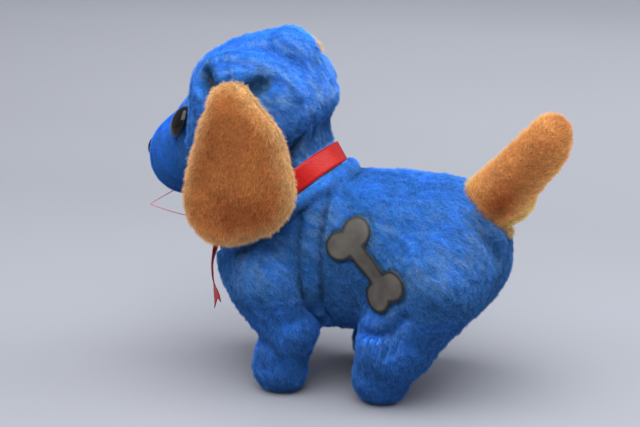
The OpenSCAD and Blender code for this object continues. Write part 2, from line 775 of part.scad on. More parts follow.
// Face of the head plush, in the head's own frame, grown by g
module head_shape(g) {
  hull() {
    ball([50, 0, 124], 32 + g);
    ball([40, 0, 131], 34.5 + g);
    ball([25, 0, 154.5], 16.5 + g);
    ball([56, 0, 134.5], 21 + g);
  }
  limb([34, 0, 110], [36, 0, 98], 26 + g, 25 + g);
  limb([70, 0, 111.5], [84, 0, 103.5], 23 + g, 19.5 + g);
}
module head_room() {
  skull_shape(skull_r + 0.8, snout_r + 0.8, snout_x1 + 0.8);
  limb([34, 0, 112], [26, 0, 92], 17, 17);
}
module eye_place(side) {
  translate([eye_at[0], side * eye_at[1], eye_at[2]]) rotate([0, eye_face[1], side * eye_face[2]]) children();
}
module nose_place() {
  translate(nose_at) rotate([0, 84, 0]) children();
}
// Pockets behind the buttons
module button_rooms() {
  for (side = [-1, 1]) eye_place(side) {
    translate([0, 0, -7]) cylinder(h = 7.2, r = 5.6, $fn = soft_fn);
    translate([0, 0, -0.1]) cylinder(h = 20, r = eye_d / 2 + 0.8, $fn = soft_fn);
  }
  nose_place() {
    translate([0, 0, -6]) cylinder(h = 6.2, r = 4, $fn = soft_fn);
    translate([0, 0, -0.1]) cylinder(h = 20, r = nose_d / 2 + 0.8, $fn = soft_fn);
  }
}
module head_plush() {
  color(blue) difference() {
    head_pose() difference() {
      head_shape(0);
      head_room();
      button_rooms();
      box([muzzle_plane_x, -60, 40], [130, 60, 180]);
    }
    neck_frame() translate([-80, -80, -120 + head_bottom]) cube([160, 160, 120]);
  }
}
module muzzle_plush() {
  color(blue) head_pose() difference() {
    intersection() {
      head_shape(0);
      box([muzzle_plane_x + 0.05, -60, 40], [130, 60, 180]);
    }
    head_room();
    button_rooms();
  }
}
module button(d, h, stem) {
  rotate_extrude() polygon(concat(
    [[0, -stem], [1.4, -stem], [1.4, 0]],
    [for (a = [0:15:75]) [d / 2 * cos(a), 0.6 + (h - 0.6) * sin(a)]],
    [[0, h]]));
}
module eye_left() {
  color("black") head_pose() eye_place(1) translate([0, 0, 0.1]) button(eye_d, 5, 6);
}
module eye_right() {
  color("black") head_pose() eye_place(-1) translate([0, 0, 0.1]) button(eye_d, 5, 6);
}
module nose() {
  color("black") head_pose() nose_place() translate([0, 0, 0.1]) button(nose_d, 3.4, 5);
}
module safety_washer(r) {
  difference() {
    cylinder(h = 1, r = r);
    translate([0, 0, -1]) cylinder(h = 3, r = 1.43);
  }
}
module safety_washers() {
  color("white") head_pose() {
    for (side = [-1, 1]) eye_place(side) translate([0, 0, -5]) safety_washer(5);
    nose_place() translate([0, 0, -4]) safety_washer(3.6);
  }
}

// ---- Ears ----
// Outline of an ear in its own plane, hanging from the middle of its top edge
module ear_outline() {
  hull() {
    translate([2, -14]) circle(13.5, $fn = 28);
    translate([-1, -53]) circle(27.5, $fn = 36);
  }
}
module ear_flap() {
  rotate([90, 0, 0]) translate([0, 0, -ear_t / 2]) hull() {
    linear_extrude(ear_t) scale([0.9, 0.94]) translate([0, -2]) ear_outline();
    translate([0, 0, 0.3 * ear_t]) linear_extrude(0.4 * ear_t) ear_outline();
  }
}
module ear_left() {
  color(tan) head_pose() translate([36, ear_y, ear_top_z]) ear_flap();
}
module ear_right() {
  color(tan) head_pose()
    translate([32, right_ear_y, ear_top_z + 1]) rotate([0, -right_ear_swing, 0]) ear_flap();
}
// The thread's route, 35 mm long
thread_points = [[92, -6, 84.9], [95, -6, 83.1], [98, -6, 81.3], [101, -6, 79.5], [103.4, -6, 78],
  [104.5, -6, 77.2], [104.4, -6, 76.7], [103, -6, 76.3], [100, -6, 75.5], [97, -6, 74.8],
  [94, -6, 74.1], [91, -6, 73.5],
  [88, -6, 73], [85.4, -6, 72.7]];
module mouth_thread() {
  color("pink") tube(thread_points, 0.25);
}

chassis_left();
chassis_right();
chassis_screws();
battery_box();
batteries();
battery_springs();
battery_contacts();
battery_cover();
cover_screw();
switch_body();
switch_knob();
circuit_board();
speaker();
wiring();
drive_motor();
motor_shaft();
motor_pinion();
first_gear();
second_gear();
gear_arbors();
crankshaft();
final_gear();
leg_axles();
axle_washers();
walking_link_left();
walking_link_right();
leg_core_front_left();
leg_core_front_right();
leg_core_hind_left();
leg_core_hind_right();
leg_plush_front_left();
leg_plush_front_right();
leg_plush_hind_left();
leg_plush_hind_right();
body_plush();
bone_patch();
neck_plush();
neck_ribbon();
neck_bracket();
neck_pin();
head_carrier();
skull_left();
skull_right();
skull_screws();
head_plush();
muzzle_plush();
eye_left();
eye_right();
nose();
safety_washers();
ear_left();
ear_right();
mouth_thread();
tail_bracket();
tail_pin();
tail_core();
tail_plush();
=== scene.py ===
"""Looks of a walking plush puppy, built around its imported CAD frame.

Shapes are worked out in millimetres as distance fields and turned into metres when a mesh is made.
+X is towards the nose, +Y is the animal's left and +Z is up, as in the frame.
"""
import json
import math
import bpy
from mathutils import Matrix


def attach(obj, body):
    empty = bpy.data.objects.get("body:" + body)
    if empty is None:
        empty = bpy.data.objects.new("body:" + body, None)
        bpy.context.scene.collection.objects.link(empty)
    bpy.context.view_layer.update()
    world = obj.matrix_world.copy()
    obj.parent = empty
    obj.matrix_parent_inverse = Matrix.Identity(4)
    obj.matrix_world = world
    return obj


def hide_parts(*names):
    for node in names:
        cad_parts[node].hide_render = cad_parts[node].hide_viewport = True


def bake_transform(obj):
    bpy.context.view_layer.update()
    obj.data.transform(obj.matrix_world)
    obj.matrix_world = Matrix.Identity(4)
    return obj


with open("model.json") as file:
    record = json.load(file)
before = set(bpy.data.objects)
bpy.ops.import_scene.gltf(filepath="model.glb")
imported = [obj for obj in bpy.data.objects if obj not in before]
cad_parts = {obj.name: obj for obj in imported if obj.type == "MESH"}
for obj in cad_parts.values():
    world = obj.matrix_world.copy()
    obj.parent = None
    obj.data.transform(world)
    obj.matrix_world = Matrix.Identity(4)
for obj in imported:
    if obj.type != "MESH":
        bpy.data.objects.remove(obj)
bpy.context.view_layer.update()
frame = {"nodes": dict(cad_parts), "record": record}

import bpy
import numpy as np
from mathutils import Vector

MM = 0.001
SCENE = bpy.context.scene


def add_object(name, data):
    made = bpy.data.objects.new(name, data)
    SCENE.collection.objects.link(made)
    return made


def turn_towards(made, place, direction):
    made.location = place
    made.rotation_mode = "QUATERNION"
    made.rotation_quaternion = direction.to_track_quat("-Z", "Y")


# ---- Camera, at the viewing angle of the reference view ----
AIM = Vector((14, 0, 81)) * MM
CAMERA_DISTANCE = 0.76
AZIMUTH, ELEVATION = math.radians(198), math.radians(15)
back = Vector((math.sin(AZIMUTH) * math.cos(ELEVATION), -math.cos(AZIMUTH) * math.cos(ELEVATION),
               math.sin(ELEVATION)))
camera_data = bpy.data.cameras.new("camera")
camera_data.lens = 89.67
camera_data.sensor_width = 36
camera_data.clip_start, camera_data.clip_end = 0.01, 20
camera = add_object("camera", camera_data)
turn_towards(camera, AIM + back * CAMERA_DISTANCE, -back)
SCENE.camera = camera


# ---- Small shader-tree helper ----
class Tree:
    """Builds a node tree: add() makes a node, sets its inputs and returns it."""

    def __init__(self, tree):
        self.tree = tree

    def add(self, kind, inputs=None, **fields):
        node = self.tree.nodes.new(kind)
        for name, value in fields.items():
            setattr(node, name, value)
        for name, value in (inputs or {}).items():
            self.feed(node.inputs[name], value)
        return node

    def feed(self, socket, value):
        """Links an output to a socket, or sets its value."""
        if hasattr(value, "is_linked"):
            self.tree.links.new(value, socket)
        else:
            socket.default_value = value


def new_material(name):
    made = bpy.data.materials.new(name)
    made.use_nodes = True
    made.node_tree.nodes.clear()
    return made, Tree(made.node_tree)


def ramp(tree, value, stops):
    """A colour ramp over value; stops are (position, colour)."""
    node = tree.add("ShaderNodeValToRGB", {"Fac": value})
    while len(node.color_ramp.elements) < len(stops):
        node.color_ramp.elements.new(0.5)
    for element, (position, colour) in zip(node.color_ramp.elements, stops):
        element.position = position
        element.color = (*colour, 1)
    return node.outputs["Color"]


def mix_colour(tree, factor, a, b, blend="MIX"):
    node = tree.add("ShaderNodeMix", data_type="RGBA", blend_type=blend)
    tree.feed(node.inputs[0], factor)
    for index, value in ((6, a), (7, b)):
        tree.feed(node.inputs[index], (*value, 1) if isinstance(value, tuple) else value)
    return node.outputs[2]


def noise_factor(tree, scale, detail, more=None):
    """A noise texture in the object's own space; scale is in waves per metre."""
    place = tree.add("ShaderNodeTexCoord").outputs["Object"]
    inputs = {"Vector": place, "Scale": scale, "Detail": detail, **(more or {})}
    return tree.add("ShaderNodeTexNoise", inputs).outputs["Fac"]


def bump(tree, height, strength, distance):
    inputs = {"Height": height, "Strength": strength, "Distance": distance}
    return tree.add("ShaderNodeBump", inputs).outputs["Normal"]


def span(tree, value, inputs):
    """Maps value from one range to another."""
    return tree.add("ShaderNodeMapRange", {"Value": value, **inputs}).outputs[0]


def surface(tree, inputs):
    """Ends a material in a principled shader with these inputs."""
    end_material(tree, tree.add("ShaderNodeBsdfPrincipled", inputs))


def end_material(tree, shader):
    tree.add("ShaderNodeOutputMaterial", {"Surface": shader.outputs[0]})


def srgb(r, g, b):
    """Linear colour of an sRGB colour given from 0 to 255."""
    parts = (r / 255, g / 255, b / 255)
    return tuple(x / 12.92 if x <= 0.04045 else ((x + 0.055) / 1.055) ** 2.4 for x in parts)


# ---- Materials ----
def plush_skin():
    """The woven ground under the pile. Its colour comes from the mesh's own tint."""
    made, t = new_material("plush_ground")
    tint = t.add("ShaderNodeAttribute", attribute_name="tint").outputs["Color"]
    tuft = noise_factor(t, 900, 3, {"Roughness": 0.7})
    speck = ramp(t, tuft, [(0.3, (0.62,) * 3), (0.7, (1.25,) * 3)])
    surface(t, {"Base Color": mix_colour(t, 1.0, tint, speck, "MULTIPLY"), "Roughness": 0.95,
                "Sheen Weight": 0.5, "Sheen Roughness": 0.5, "Specular IOR Level": 0.15,
                "Normal": bump(t, tuft, 0.6, 0.0006)})
    return made


def plush_pile():
    """The fibres of the pile, in the ground's tint: painted shade darkens the root, the paler tip is partly
    the fibres' own pale tips and partly painted light, and a painted whitish sheen lies on the tips.
    """
    made, t = new_material("plush_pile")
    tint = t.add("ShaderNodeAttribute", attribute_name="tint").outputs["Color"]
    hair = t.add("ShaderNodeHairInfo")
    along = hair.outputs["Intercept"]
    # painted shade at each fibre's root; the paler tip is partly its own colour and partly painted light
    shade = ramp(t, along, [(0.0, (0.5,) * 3), (0.6, (1.0,) * 3), (1.0, (1.35,) * 3)])
    own = ramp(t, hair.outputs["Random"], [(0.0, (0.72,) * 3), (1.0, (1.25,) * 3)])
    colour = mix_colour(t, 1.0, mix_colour(t, 1.0, tint, shade, "MULTIPLY"), own, "MULTIPLY")
    # painted whitish sheen on the fibre tips, stronger where the tint is lighter
    light = t.add("ShaderNodeRGBToBW", {"Color": tint}).outputs[0]
    most = span(t, light, {"From Max": 0.3, "To Max": 0.08})
    tip_painted_sheen = span(t, along, {"From Min": 0.5, "To Max": most})
    colour = mix_colour(t, tip_painted_sheen, colour, (0.8, 0.8, 0.8))
    shader = t.add("ShaderNodeBsdfPrincipled", {
        "Base Color": colour, "Roughness": 0.5, "Specular IOR Level": 0.35})
    glow = t.add("ShaderNodeBsdfTranslucent", {"Color": colour})
    end_material(t, t.add("ShaderNodeMixShader", {0: 0.35, 1: shader.outputs[0], 2: glow.outputs[0]}))
    return made


SKIN = plush_skin()
PILE = plush_pile()

BLUE = srgb(63, 148, 228)
# a brighter, bluer copy of the plush blue for the face, as painted light on the muzzle
LIT_FACE_BLUE = srgb(51, 153, 252)
LEG_BLUE = srgb(54, 145, 238)
# pale blue of the painted sheen on the plush's sides
PAINTED_SIDE_SHEEN = srgb(145, 188, 224)
TAN = srgb(228, 158, 84)
# pale tan of the painted highlight along the ears' rims
TAN_RIM_HIGHLIGHT = srgb(253, 224, 164)
TAN_DEEP = srgb(186, 104, 46)


# ---- Distance fields ----
def vec(*xyz):
    return np.array(xyz, np.float32)


def ball(p, c, r):
    return np.sqrt(((p - vec(*c)) ** 2).sum(-1)) - r


def cone(p, a, b, ra, rb):
    """A limb with round ends of radius ra at a and rb at b."""
    a, b = vec(*a), vec(*b)
    ba = b - a
    l2, rr = ba @ ba, ra - rb
    a2, il2 = l2 - rr * rr, 1 / l2
    pa = p - a
    y = pa @ ba
    z = y - l2
    x = pa * l2 - ba * y[..., None]
    x2, y2, z2 = (x * x).sum(-1), y * y * l2, z * z * l2
    k = np.sign(rr) * rr * rr * x2
    d = (np.sqrt(np.maximum(x2 * a2 * il2, 0)) + y * rr) * il2 - ra
    d = np.where(np.sign(y) * a2 * y2 < k, np.sqrt(x2 + y2) * il2 - ra, d)
    return np.where(np.sign(z) * a2 * z2 > k, np.sqrt(x2 + z2) * il2 - rb, d)


def egg(p, c, r):
    """An ellipsoid with half-axes r."""
    q, r = p - vec(*c), vec(*r)
    k0 = np.sqrt(((q / r) ** 2).sum(-1))
    k1 = np.sqrt(((q / (r * r)) ** 2).sum(-1)) + 1e-9
    return k0 * (k0 - 1) / k1


def join(a, b, k):
    """Smooth union over a width k."""
    h = np.maximum(k - np.abs(a - b), 0) / k
    return np.minimum(a, b) - h * h * k * 0.25


def carve(a, b, k):
    """Smooth intersection over a width k."""
    return -join(-a, -b, k)


def to_line(p, line):
    """Distance to a line through given points."""
    best = None
    for a, b in zip(line[:-1], line[1:]):
        a, b = vec(*a), vec(*b)
        ab = b - a
        t = unit(((p - a) @ ab) / (ab @ ab))
        d = ((p - a - t[..., None] * ab) ** 2).sum(-1)
        best = d if best is None else np.minimum(best, d)
    return np.sqrt(best)


def bell(x, width):
    return np.exp(-((x / width) ** 2))


def unit(x):
    return np.clip(x, 0, 1)


def crease(p, line, width, depth):
    """How far a groove along line sinks the surface (negative depth raises a ridge)."""
    return depth * bell(to_line(p, line), width)


def surface_nets(field, low, step):
    """Points and quads of a field's zero surface; the field is negative inside."""
    nx, ny, nz = field.shape
    offsets = [(i, j, k) for i in (0, 1) for j in (0, 1) for k in (0, 1)]
    corner = [field[i:nx - 1 + i, j:ny - 1 + j, k:nz - 1 + k] for i, j, k in offsets]
    count = sum((c < 0).astype(np.int8) for c in corner)
    active = (count > 0) & (count < 8)
    cells = np.argwhere(active)
    index = -np.ones(active.shape, np.int64)
    index[active] = np.arange(len(cells))
    values = np.stack([c[active] for c in corner], 1)
    at = np.array(offsets)
    place, hits = np.zeros((len(cells), 3)), np.zeros(len(cells))
    for a in range(8):
        for b in range(a + 1, 8):
            if np.abs(at[a] - at[b]).sum() != 1:
                continue
            va, vb = values[:, a], values[:, b]
            cut = (va < 0) != (vb < 0)
            t = np.where(cut, va / (va - vb + 1e-20), 0)
            place += cut[:, None] * (at[a] + t[:, None] * (at[b] - at[a]))
            hits += cut
    points = (cells + place / hits[:, None]) * step + np.array(low)
    inside, quads = field < 0, []
    shape = field.shape
    for axis in range(3):
        first, second = [slice(None)] * 3, [slice(None)] * 3
        first[axis], second[axis] = slice(0, shape[axis] - 1), slice(1, shape[axis])
        near, far = inside[tuple(first)], inside[tuple(second)]
        u, w = (axis + 1) % 3, (axis + 2) % 3
        edge = np.argwhere(near != far)
        inner = [(edge[:, i] > 0) & (edge[:, i] < shape[i] - 1) for i in (u, w)]
        edge = edge[inner[0] & inner[1]]
        flip = near[tuple(edge.T)]

        def cell(du, dw):
            q = edge.copy()
            q[:, u] -= du
            q[:, w] -= dw
            return index[tuple(q.T)]

        quad = np.stack([cell(1, 1), cell(0, 1), cell(0, 0), cell(1, 0)], 1)
        quad[~flip] = quad[~flip][:, ::-1]
        quads.append(quad)
    return points, np.concatenate(quads)


def slope(field, points, reach=0.4):
    """Unit direction in which a field grows."""
    out = np.zeros_like(points)
    for k in range(3):
        move = np.zeros(3)
        move[k] = reach
        out[:, k] = field((points + move).astype(np.float32)) - field((points - move).astype(np.float32))
    return out / np.maximum(np.linalg.norm(out, axis=1), 1e-9)[:, None]


def noise(p, size, seed=0):
    """Smooth value noise from -1 to 1, with features of about size mm."""
    q = np.asarray(p, np.float64) / size + seed * 17.31
    base = np.floor(q).astype(np.int64)
    f = q - base
    f = f * f * (3 - 2 * f)
    total = np.zeros(q.shape[:-1])
    for dx in (0, 1):
        for dy in (0, 1):
            for dz in (0, 1):
                h = ((base[..., 0] + dx) * 374761393 + (base[..., 1] + dy) * 668265263
                     + (base[..., 2] + dz) * 2147483647)
                h = (h ^ (h >> 13)) * 1274126177
                h = ((h ^ (h >> 16)) & 0xFFFF) / 32767.5 - 1
                w = (f[..., 0] if dx else 1 - f[..., 0]) * (f[..., 1] if dy else 1 - f[..., 1])
                total += h * w * (f[..., 2] if dz else 1 - f[..., 2])
    return total


def streaks(points, comb, seed, across=2.4, along=6.5):
    """Noise drawn out along the way the pile lies."""
    way = np.asarray(comb, float) / np.linalg.norm(comb)
    run = np.asarray(points) @ way
    q = (points - run[:, None] * way) / across + (run / along)[:, None] * way
    return noise(q, 1.0, seed)


def grid_faces(rows, columns, rows_close=False, columns_close=False):
    """Quads between neighbours of a grid of points that is stored row by row."""
    faces = []
    for i in range(rows if rows_close else rows - 1):
        down = (i + 1) % rows
        for j in range(columns if columns_close else columns - 1):
            right = (j + 1) % columns
            faces.append((i * columns + j, i * columns + right, down * columns + right, down * columns + j))
    return faces


def mesh_object(name, points, faces, material):
    data = bpy.data.meshes.new(name)
    data.from_pydata((np.asarray(points) * MM).tolist(), [], faces)
    data.validate()
    data.polygons.foreach_set("use_smooth", np.ones(len(data.polygons), bool))
    data.materials.append(material)
    return add_object(name, data)


def thicken(made, thickness, offset):
    """Gives a sheet its thickness in metres; offset -1 is inwards and 0 is both ways."""
    solid = made.modifiers.new("thickness", "SOLIDIFY")
    solid.thickness, solid.offset = thickness, offset


def set_attribute(made, name, kind, values):
    attribute = made.data.attributes.new(name, kind, "POINT")
    key = {"FLOAT": "value", "FLOAT_VECTOR": "vector", "FLOAT_COLOR": "color"}[kind]
    attribute.data.foreach_set(key, np.asarray(values, np.float32).ravel())


LIE = (-0.85, 0, -0.55)  # the way the body's pile lies


def soft_mesh(name, field, low, high, step=1.0, tuft=0.3):
    """A mesh of a field's surface with tufts on it. Returns the object, its points and normals."""
    axes = [np.arange(a, b + step, step, dtype=np.float32) for a, b in zip(low, high)]
    values = field(np.stack(np.meshgrid(*axes, indexing="ij"), -1))
    points, quads = surface_nets(values, low, step)
    for _ in range(3):
        value = field(points.astype(np.float32))
        points -= slope(field, points) * np.clip(value, -0.6, 0.6)[:, None] * 0.9
    normals = slope(field, points)
    calm = 1 - 0.6 * unit(normals[:, 2])
    lift = calm * (0.9 * streaks(points, LIE, 1) + 0.45 * noise(points, 1.7, 2))
    points = points + normals * (tuft * lift)[:, None]
    return mesh_object(name, points, quads.tolist(), SKIN), points, normals


# ---- The pile: fibres grown on a mesh by geometry nodes ----
def pile_group(name, density, length, radius, lift, lean, jitter, clump, seed):
    """Fibres of a length in metres, so many per square metre, that lean along the mesh's own comb."""
    group = bpy.data.node_groups.new(name, "GeometryNodeTree")
    group.interface.new_socket("Geometry", in_out="INPUT", socket_type="NodeSocketGeometry")
    group.interface.new_socket("Skin", in_out="INPUT", socket_type="NodeSocketObject")
    group.interface.new_socket("Geometry", in_out="OUTPUT", socket_type="NodeSocketGeometry")
    t = Tree(group)
    skin = t.add("GeometryNodeObjectInfo", {"Object": t.add("NodeGroupInput").outputs["Skin"]},
                 transform_space="RELATIVE")
    source = skin.outputs["Geometry"]

    def first(kind, inputs=None, **fields):
        return t.add(kind, inputs, **fields).outputs[0]

    def math_node(operation, a, b):
        return first("ShaderNodeMath", {0: a, 1: b}, operation=operation)

    def vector_node(operation, a, b):
        return first("ShaderNodeVectorMath", {0: a, 1: b}, operation=operation)

    def scaled(a, factor):
        return first("ShaderNodeVectorMath", {0: a, "Scale": factor}, operation="SCALE")

    def named(kind, attribute):
        node = t.add("GeometryNodeInputNamedAttribute", {"Name": attribute}, data_type=kind)
        return node.outputs["Attribute"]

    here = math_node("MULTIPLY", named("FLOAT", "thick"), density)
    spread = t.add("GeometryNodeDistributePointsOnFaces", {"Mesh": source, "Density": here, "Seed": seed},
                   distribute_method="RANDOM")
    place = first("GeometryNodeInputPosition")
    wide = t.add("ShaderNodeTexNoise", {"Vector": place, "Scale": 330, "Detail": 2}, noise_dimensions="3D")
    sway = vector_node("SUBTRACT", wide.outputs["Color"], (0.5, 0.5, 0.5))
    scatter = t.add("FunctionNodeRandomValue", {"Min": (-1, -1, -1), "Max": (1, 1, 1), "Seed": seed + 1},
                    data_type="FLOAT_VECTOR").outputs["Value"]
    tip = vector_node("ADD", scaled(named("FLOAT_VECTOR", "comb"), lean), scaled(sway, clump))
    tip = vector_node("ADD", tip, scaled(scatter, jitter))
    vary = t.add("FunctionNodeRandomValue", {"Min": 0.65, "Max": 1.15, "Seed": seed + 2}, data_type="FLOAT")
    long = math_node("MULTIPLY", math_node("MULTIPLY", vary.outputs[1], named("FLOAT", "nap")), length)
    points = spread.outputs["Points"]
    for attribute, value, kind in (("f_root", place, "FLOAT_VECTOR"),
                                   ("f_up", scaled(spread.outputs["Normal"], lift), "FLOAT_VECTOR"),
                                   ("f_tip", tip, "FLOAT_VECTOR"), ("f_long", long, "FLOAT")):
        points = first("GeometryNodeStoreNamedAttribute",
                       {"Geometry": points, "Name": attribute, "Value": value},
                       data_type=kind, domain="POINT")
    hair = first("GeometryNodeResampleCurve", {"Curve": first("GeometryNodeCurvePrimitiveLine"), "Count": 4})
    hairs = first("GeometryNodeInstanceOnPoints", {"Points": points, "Instance": hair})
    hairs = first("GeometryNodeRealizeInstances", {"Geometry": hairs})
    along = t.add("GeometryNodeSplineParameter").outputs["Factor"]
    bend = vector_node("ADD", scaled(named("FLOAT_VECTOR", "f_up"), along),
                       scaled(named("FLOAT_VECTOR", "f_tip"), math_node("POWER", along, 1.6)))
    end = vector_node("ADD", named("FLOAT_VECTOR", "f_root"), scaled(bend, named("FLOAT", "f_long")))
    hairs = first("GeometryNodeSetPosition", {"Geometry": hairs, "Position": end})
    thin = span(t, along, {"From Min": 0, "From Max": 1, "To Min": radius, "To Max": radius * 0.35})
    hairs = first("GeometryNodeSetCurveRadius", {"Curve": hairs, "Radius": thin})
    hairs = first("GeometryNodeSetMaterial", {"Geometry": hairs, "Material": PILE})
    t.add("NodeGroupOutput", {0: hairs})
    return group


# Fibres per square mm, length and radius in mm, then how much each stands up, leans, strays and clumps
PILE_KINDS = {
    "body": (9.0, 2.4, 0.055, 0.55, 0.75, 0.14, 1.5),
    "face": (12.0, 1.3, 0.05, 0.75, 0.5, 0.14, 0.8),
    "tan": (10.0, 2.7, 0.055, 0.7, 0.55, 0.16, 1.1),
}
PILES = {}


def grow_pile(made, points, normals, comb, tint, nap=1.0, thick=1.0, kind="body"):
    """Stores what the fibres need on the mesh, and grows them when the scene is rendered."""
    comb = np.broadcast_to(np.asarray(comb, float), points.shape)
    flat = comb - normals * (comb * normals).sum(1)[:, None]
    set_attribute(made, "comb", "FLOAT_VECTOR", flat)
    set_attribute(made, "nap", "FLOAT", np.broadcast_to(nap, len(points)))
    set_attribute(made, "thick", "FLOAT", np.broadcast_to(thick, len(points)))
    tint = unit(np.broadcast_to(tint, points.shape))
    set_attribute(made, "tint", "FLOAT_COLOR", np.concatenate([tint, np.ones((len(points), 1))], 1))
    if kind not in PILES:
        density, length, radius, *manner = PILE_KINDS[kind]
        PILES[kind] = pile_group("pile_" + kind, density * 1e6, length * MM, radius * MM, *manner,
                                 len(PILES) * 7 + 3)
    name = made.name + "_pile"
    fibres = add_object(name, bpy.data.hair_curves.new(name))
    fibres.data.materials.append(PILE)
    modifier = fibres.modifiers.new("pile", "NODES")
    modifier.node_group = PILES[kind]
    socket = next(i for i in PILES[kind].interface.items_tree if i.name == "Skin")
    modifier[socket.identifier] = made


def finish_piece(made, body, nodes=()):
    """A piece that rides one body."""
    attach(made, body)
    if nodes:
        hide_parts(*nodes)


def bend_piece(made, node):
    """A padded piece that reaches over a joint: its CAD node is hidden and its transform is baked into its
    mesh.
    """
    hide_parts(node)
    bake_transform(made)


def toward(a, b, share):
    """Colours a, moved to colour b by each point's share."""
    share = share[:, None]
    return np.asarray(a) * (1 - share) + np.asarray(b) * share


def mottle_and_painted_light(points, normals, colour, comb=LIE, sheen_share=0.42):
    """A colour that wanders in streaks along the pile, with a painted pale sheen on the sides, painted shade
    on faces that turn down and painted light on faces that turn up.
    """
    tone_and_painted_light = 1 + 0.13 * noise(points, 9, 5) + 0.195 * streaks(points, comb, 6)
    up = normals[:, 2]
    # painted shade on faces that turn down, painted light on faces that turn up
    tone_and_painted_light = tone_and_painted_light * (0.58 + 0.42 * unit(0.36 + 0.9 * up) + 0.08 * unit(up))
    tint = np.asarray(colour)[None, :] * tone_and_painted_light[:, None]
    # painted pale sheen in streaks on the side faces
    side = unit((up + 0.1) / 0.4) * unit((0.92 - up) / 0.4)
    strand = unit(0.25 + 0.9 * streaks(points, comb, 21, 1.5, 5.0) + 0.7 * noise(points, 19, 22))
    return toward(tint, PAINTED_SIDE_SHEEN, sheen_share * side * strand)


# ---- Body and legs ----
PILE_DEPTH = 1.3
STRIDE = 16
STANCE = 26.5
LEG_CUT = 45
SOLE = 9.5


def front_leg(lead):
    return dict(foot=(25.5 + lead, STANCE, 14), knee=(21.2 + 0.7 * lead, STANCE, 31), hip=(30, 22, 52),
                radii=(12.8, 13.4, 20.5))


def hind_leg(lead):
    return dict(foot=(-24 + 0.95 * lead, STANCE, 14), knee=(-31.5 - 0.05 * lead, STANCE, 30),
                hip=(-47, 21, 60), radii=(13.2, 17.6 - 0.15 * lead, 25.5))


def lower_leg(p, leg):
    foot, knee = leg["foot"], leg["knee"]
    d = cone(p, foot, knee, leg["radii"][0], leg["radii"][1])
    sole = cone(p, (foot[0] - 3, foot[1] - 1, 8.5), (foot[0] + 3, foot[1] - 1, 8.5), SOLE, SOLE)
    return join(d, sole, 4)


def upper_leg(p, leg):
    return cone(p, leg["knee"], leg["hip"], leg["radii"][1], leg["radii"][2])


def whole_leg(p, leg):
    return join(lower_leg(p, leg), upper_leg(p, leg), 5)


def mirrored(p):
    q = p.copy()
    q[..., 1] *= -1
    return q


def folded(p):
    """Points brought to the left side."""
    q = p.copy()
    q[..., 1] = np.abs(q[..., 1])
    return q


LEGS = {
    "front_left": (front_leg(0), 1), "hind_left": (hind_leg(0), 1),
    "front_right": (front_leg(STRIDE), -1), "hind_right": (hind_leg(STRIDE), -1),
}
# Lines on the left side: the band behind the shoulder, the seam over the buttock, and creases
BAND_FRONT = [(15, 27, 93), (14.7, 30, 86), (14.4, 34, 76), (13.3, 35, 62), (11.5, 32, 46), (6, 24, 36)]
BAND_REAR = [(3, 22, 96), (3.5, 29, 86), (3.2, 34, 73), (3, 34, 59), (3.5, 29, 46), (1, 20, 36)]
SEAM = [(-74, 0, 84), (-77, 1.5, 79), (-78.5, 5, 73), (-77.5, 10, 64), (-73, 18, 54), (-66, 24, 44),
        (-56, 28, 34)]
RUMP_HOLLOW = [(-66, 18, 90), (-70, 18.5, 82), (-76, 14, 71)]
THIGH_FOLD = [(-8, 30, 39), (-18, 36, 37), (-27, 41, 38), (-34, 44, 41), (-40, 44, 48)]
WRIST_FOLD = [(38, 18, 28.5), (37, 27, 28), (33, 36, 27), (26, 41, 26)]
ELBOW_FOLD = [(6, 30, 45), (11, 36, 40), (18, 40, 38)]
COLLAR = vec(33, 0, 89.5)
TILT = math.radians(37.8)
NECK_UP = vec(math.sin(TILT), 0, math.cos(TILT))
NECK_FORE = vec(math.cos(TILT), 0, -math.sin(TILT))
NECK_TOP_CUT = -4.6
NECK_FLAT = 4


def torso(p):
    d = cone(p, (28.5, 0, 64), (-44, 0, 69), 34, 35)
    d = join(d, cone(p, (34, 0, 60), (25, 0, 90), 27, 28), 14)
    d = join(d, cone(p, (14, 0, 71.5), (-22, 0, 70), 31.5, 32), 8)
    return join(d, cone(p, (14, 0, 54), (-20, 0, 52.5), 24, 24), 14)


def neck_coordinates(p):
    q = p - COLLAR
    return q @ NECK_FORE, q[..., 1], q @ NECK_UP


def neck_ring(fore, wide):
    """Distance from the neck's axis; the ring is NECK_FLAT longer at the front and at the back."""
    return np.sqrt((np.abs(fore) - np.minimum(np.abs(fore), NECK_FLAT)) ** 2 + wide ** 2)


def details(p, d):
    """Seams and folds of the body skin, on both sides."""
    near = np.abs(d) < 8
    q = folded(p)[near]
    change = crease(q, BAND_FRONT, 1.5, 3.0) + crease(q, BAND_REAR, 1.4, 2.8)
    middle = [tuple((a + b) / 2 for a, b in zip(f, r)) for f, r in zip(BAND_FRONT, BAND_REAR)]
    change -= crease(q, middle, 3.0, 1.1)
    change += crease(q, SEAM, 1.3, 2.3)
    change += crease(q, THIGH_FOLD, 2.4, 4.0) + crease(q, ELBOW_FOLD, 2.6, 1.8)
    change += crease(q, WRIST_FOLD, 3.2, 3.0)
    change += crease(q, [(20, 40, 18), (25, 41, 15), (31, 38, 15)], 3.0, 1.2)
    change += crease(q, RUMP_HOLLOW, 3.8, 3.4)
    change -= crease(q, [(-64, 13, 97), (-71, 14, 88), (-76, 11, 80)], 3.5, 1.0)
    for x, z in ((-20, 31), (-24, 32.5), (-28, 34), (-32.5, 36), (-37, 38.5)):
        change += crease(q, [(x - 2, 38, z + 5), (x - 1, 43, z), (x + 2, 44, z - 8)], 1.2, 1.5)
    change += 0.8 * noise(q, 26, 3) + 0.35 * noise(q, 11, 4)
    out = d.copy()
    out[near] += change
    return out


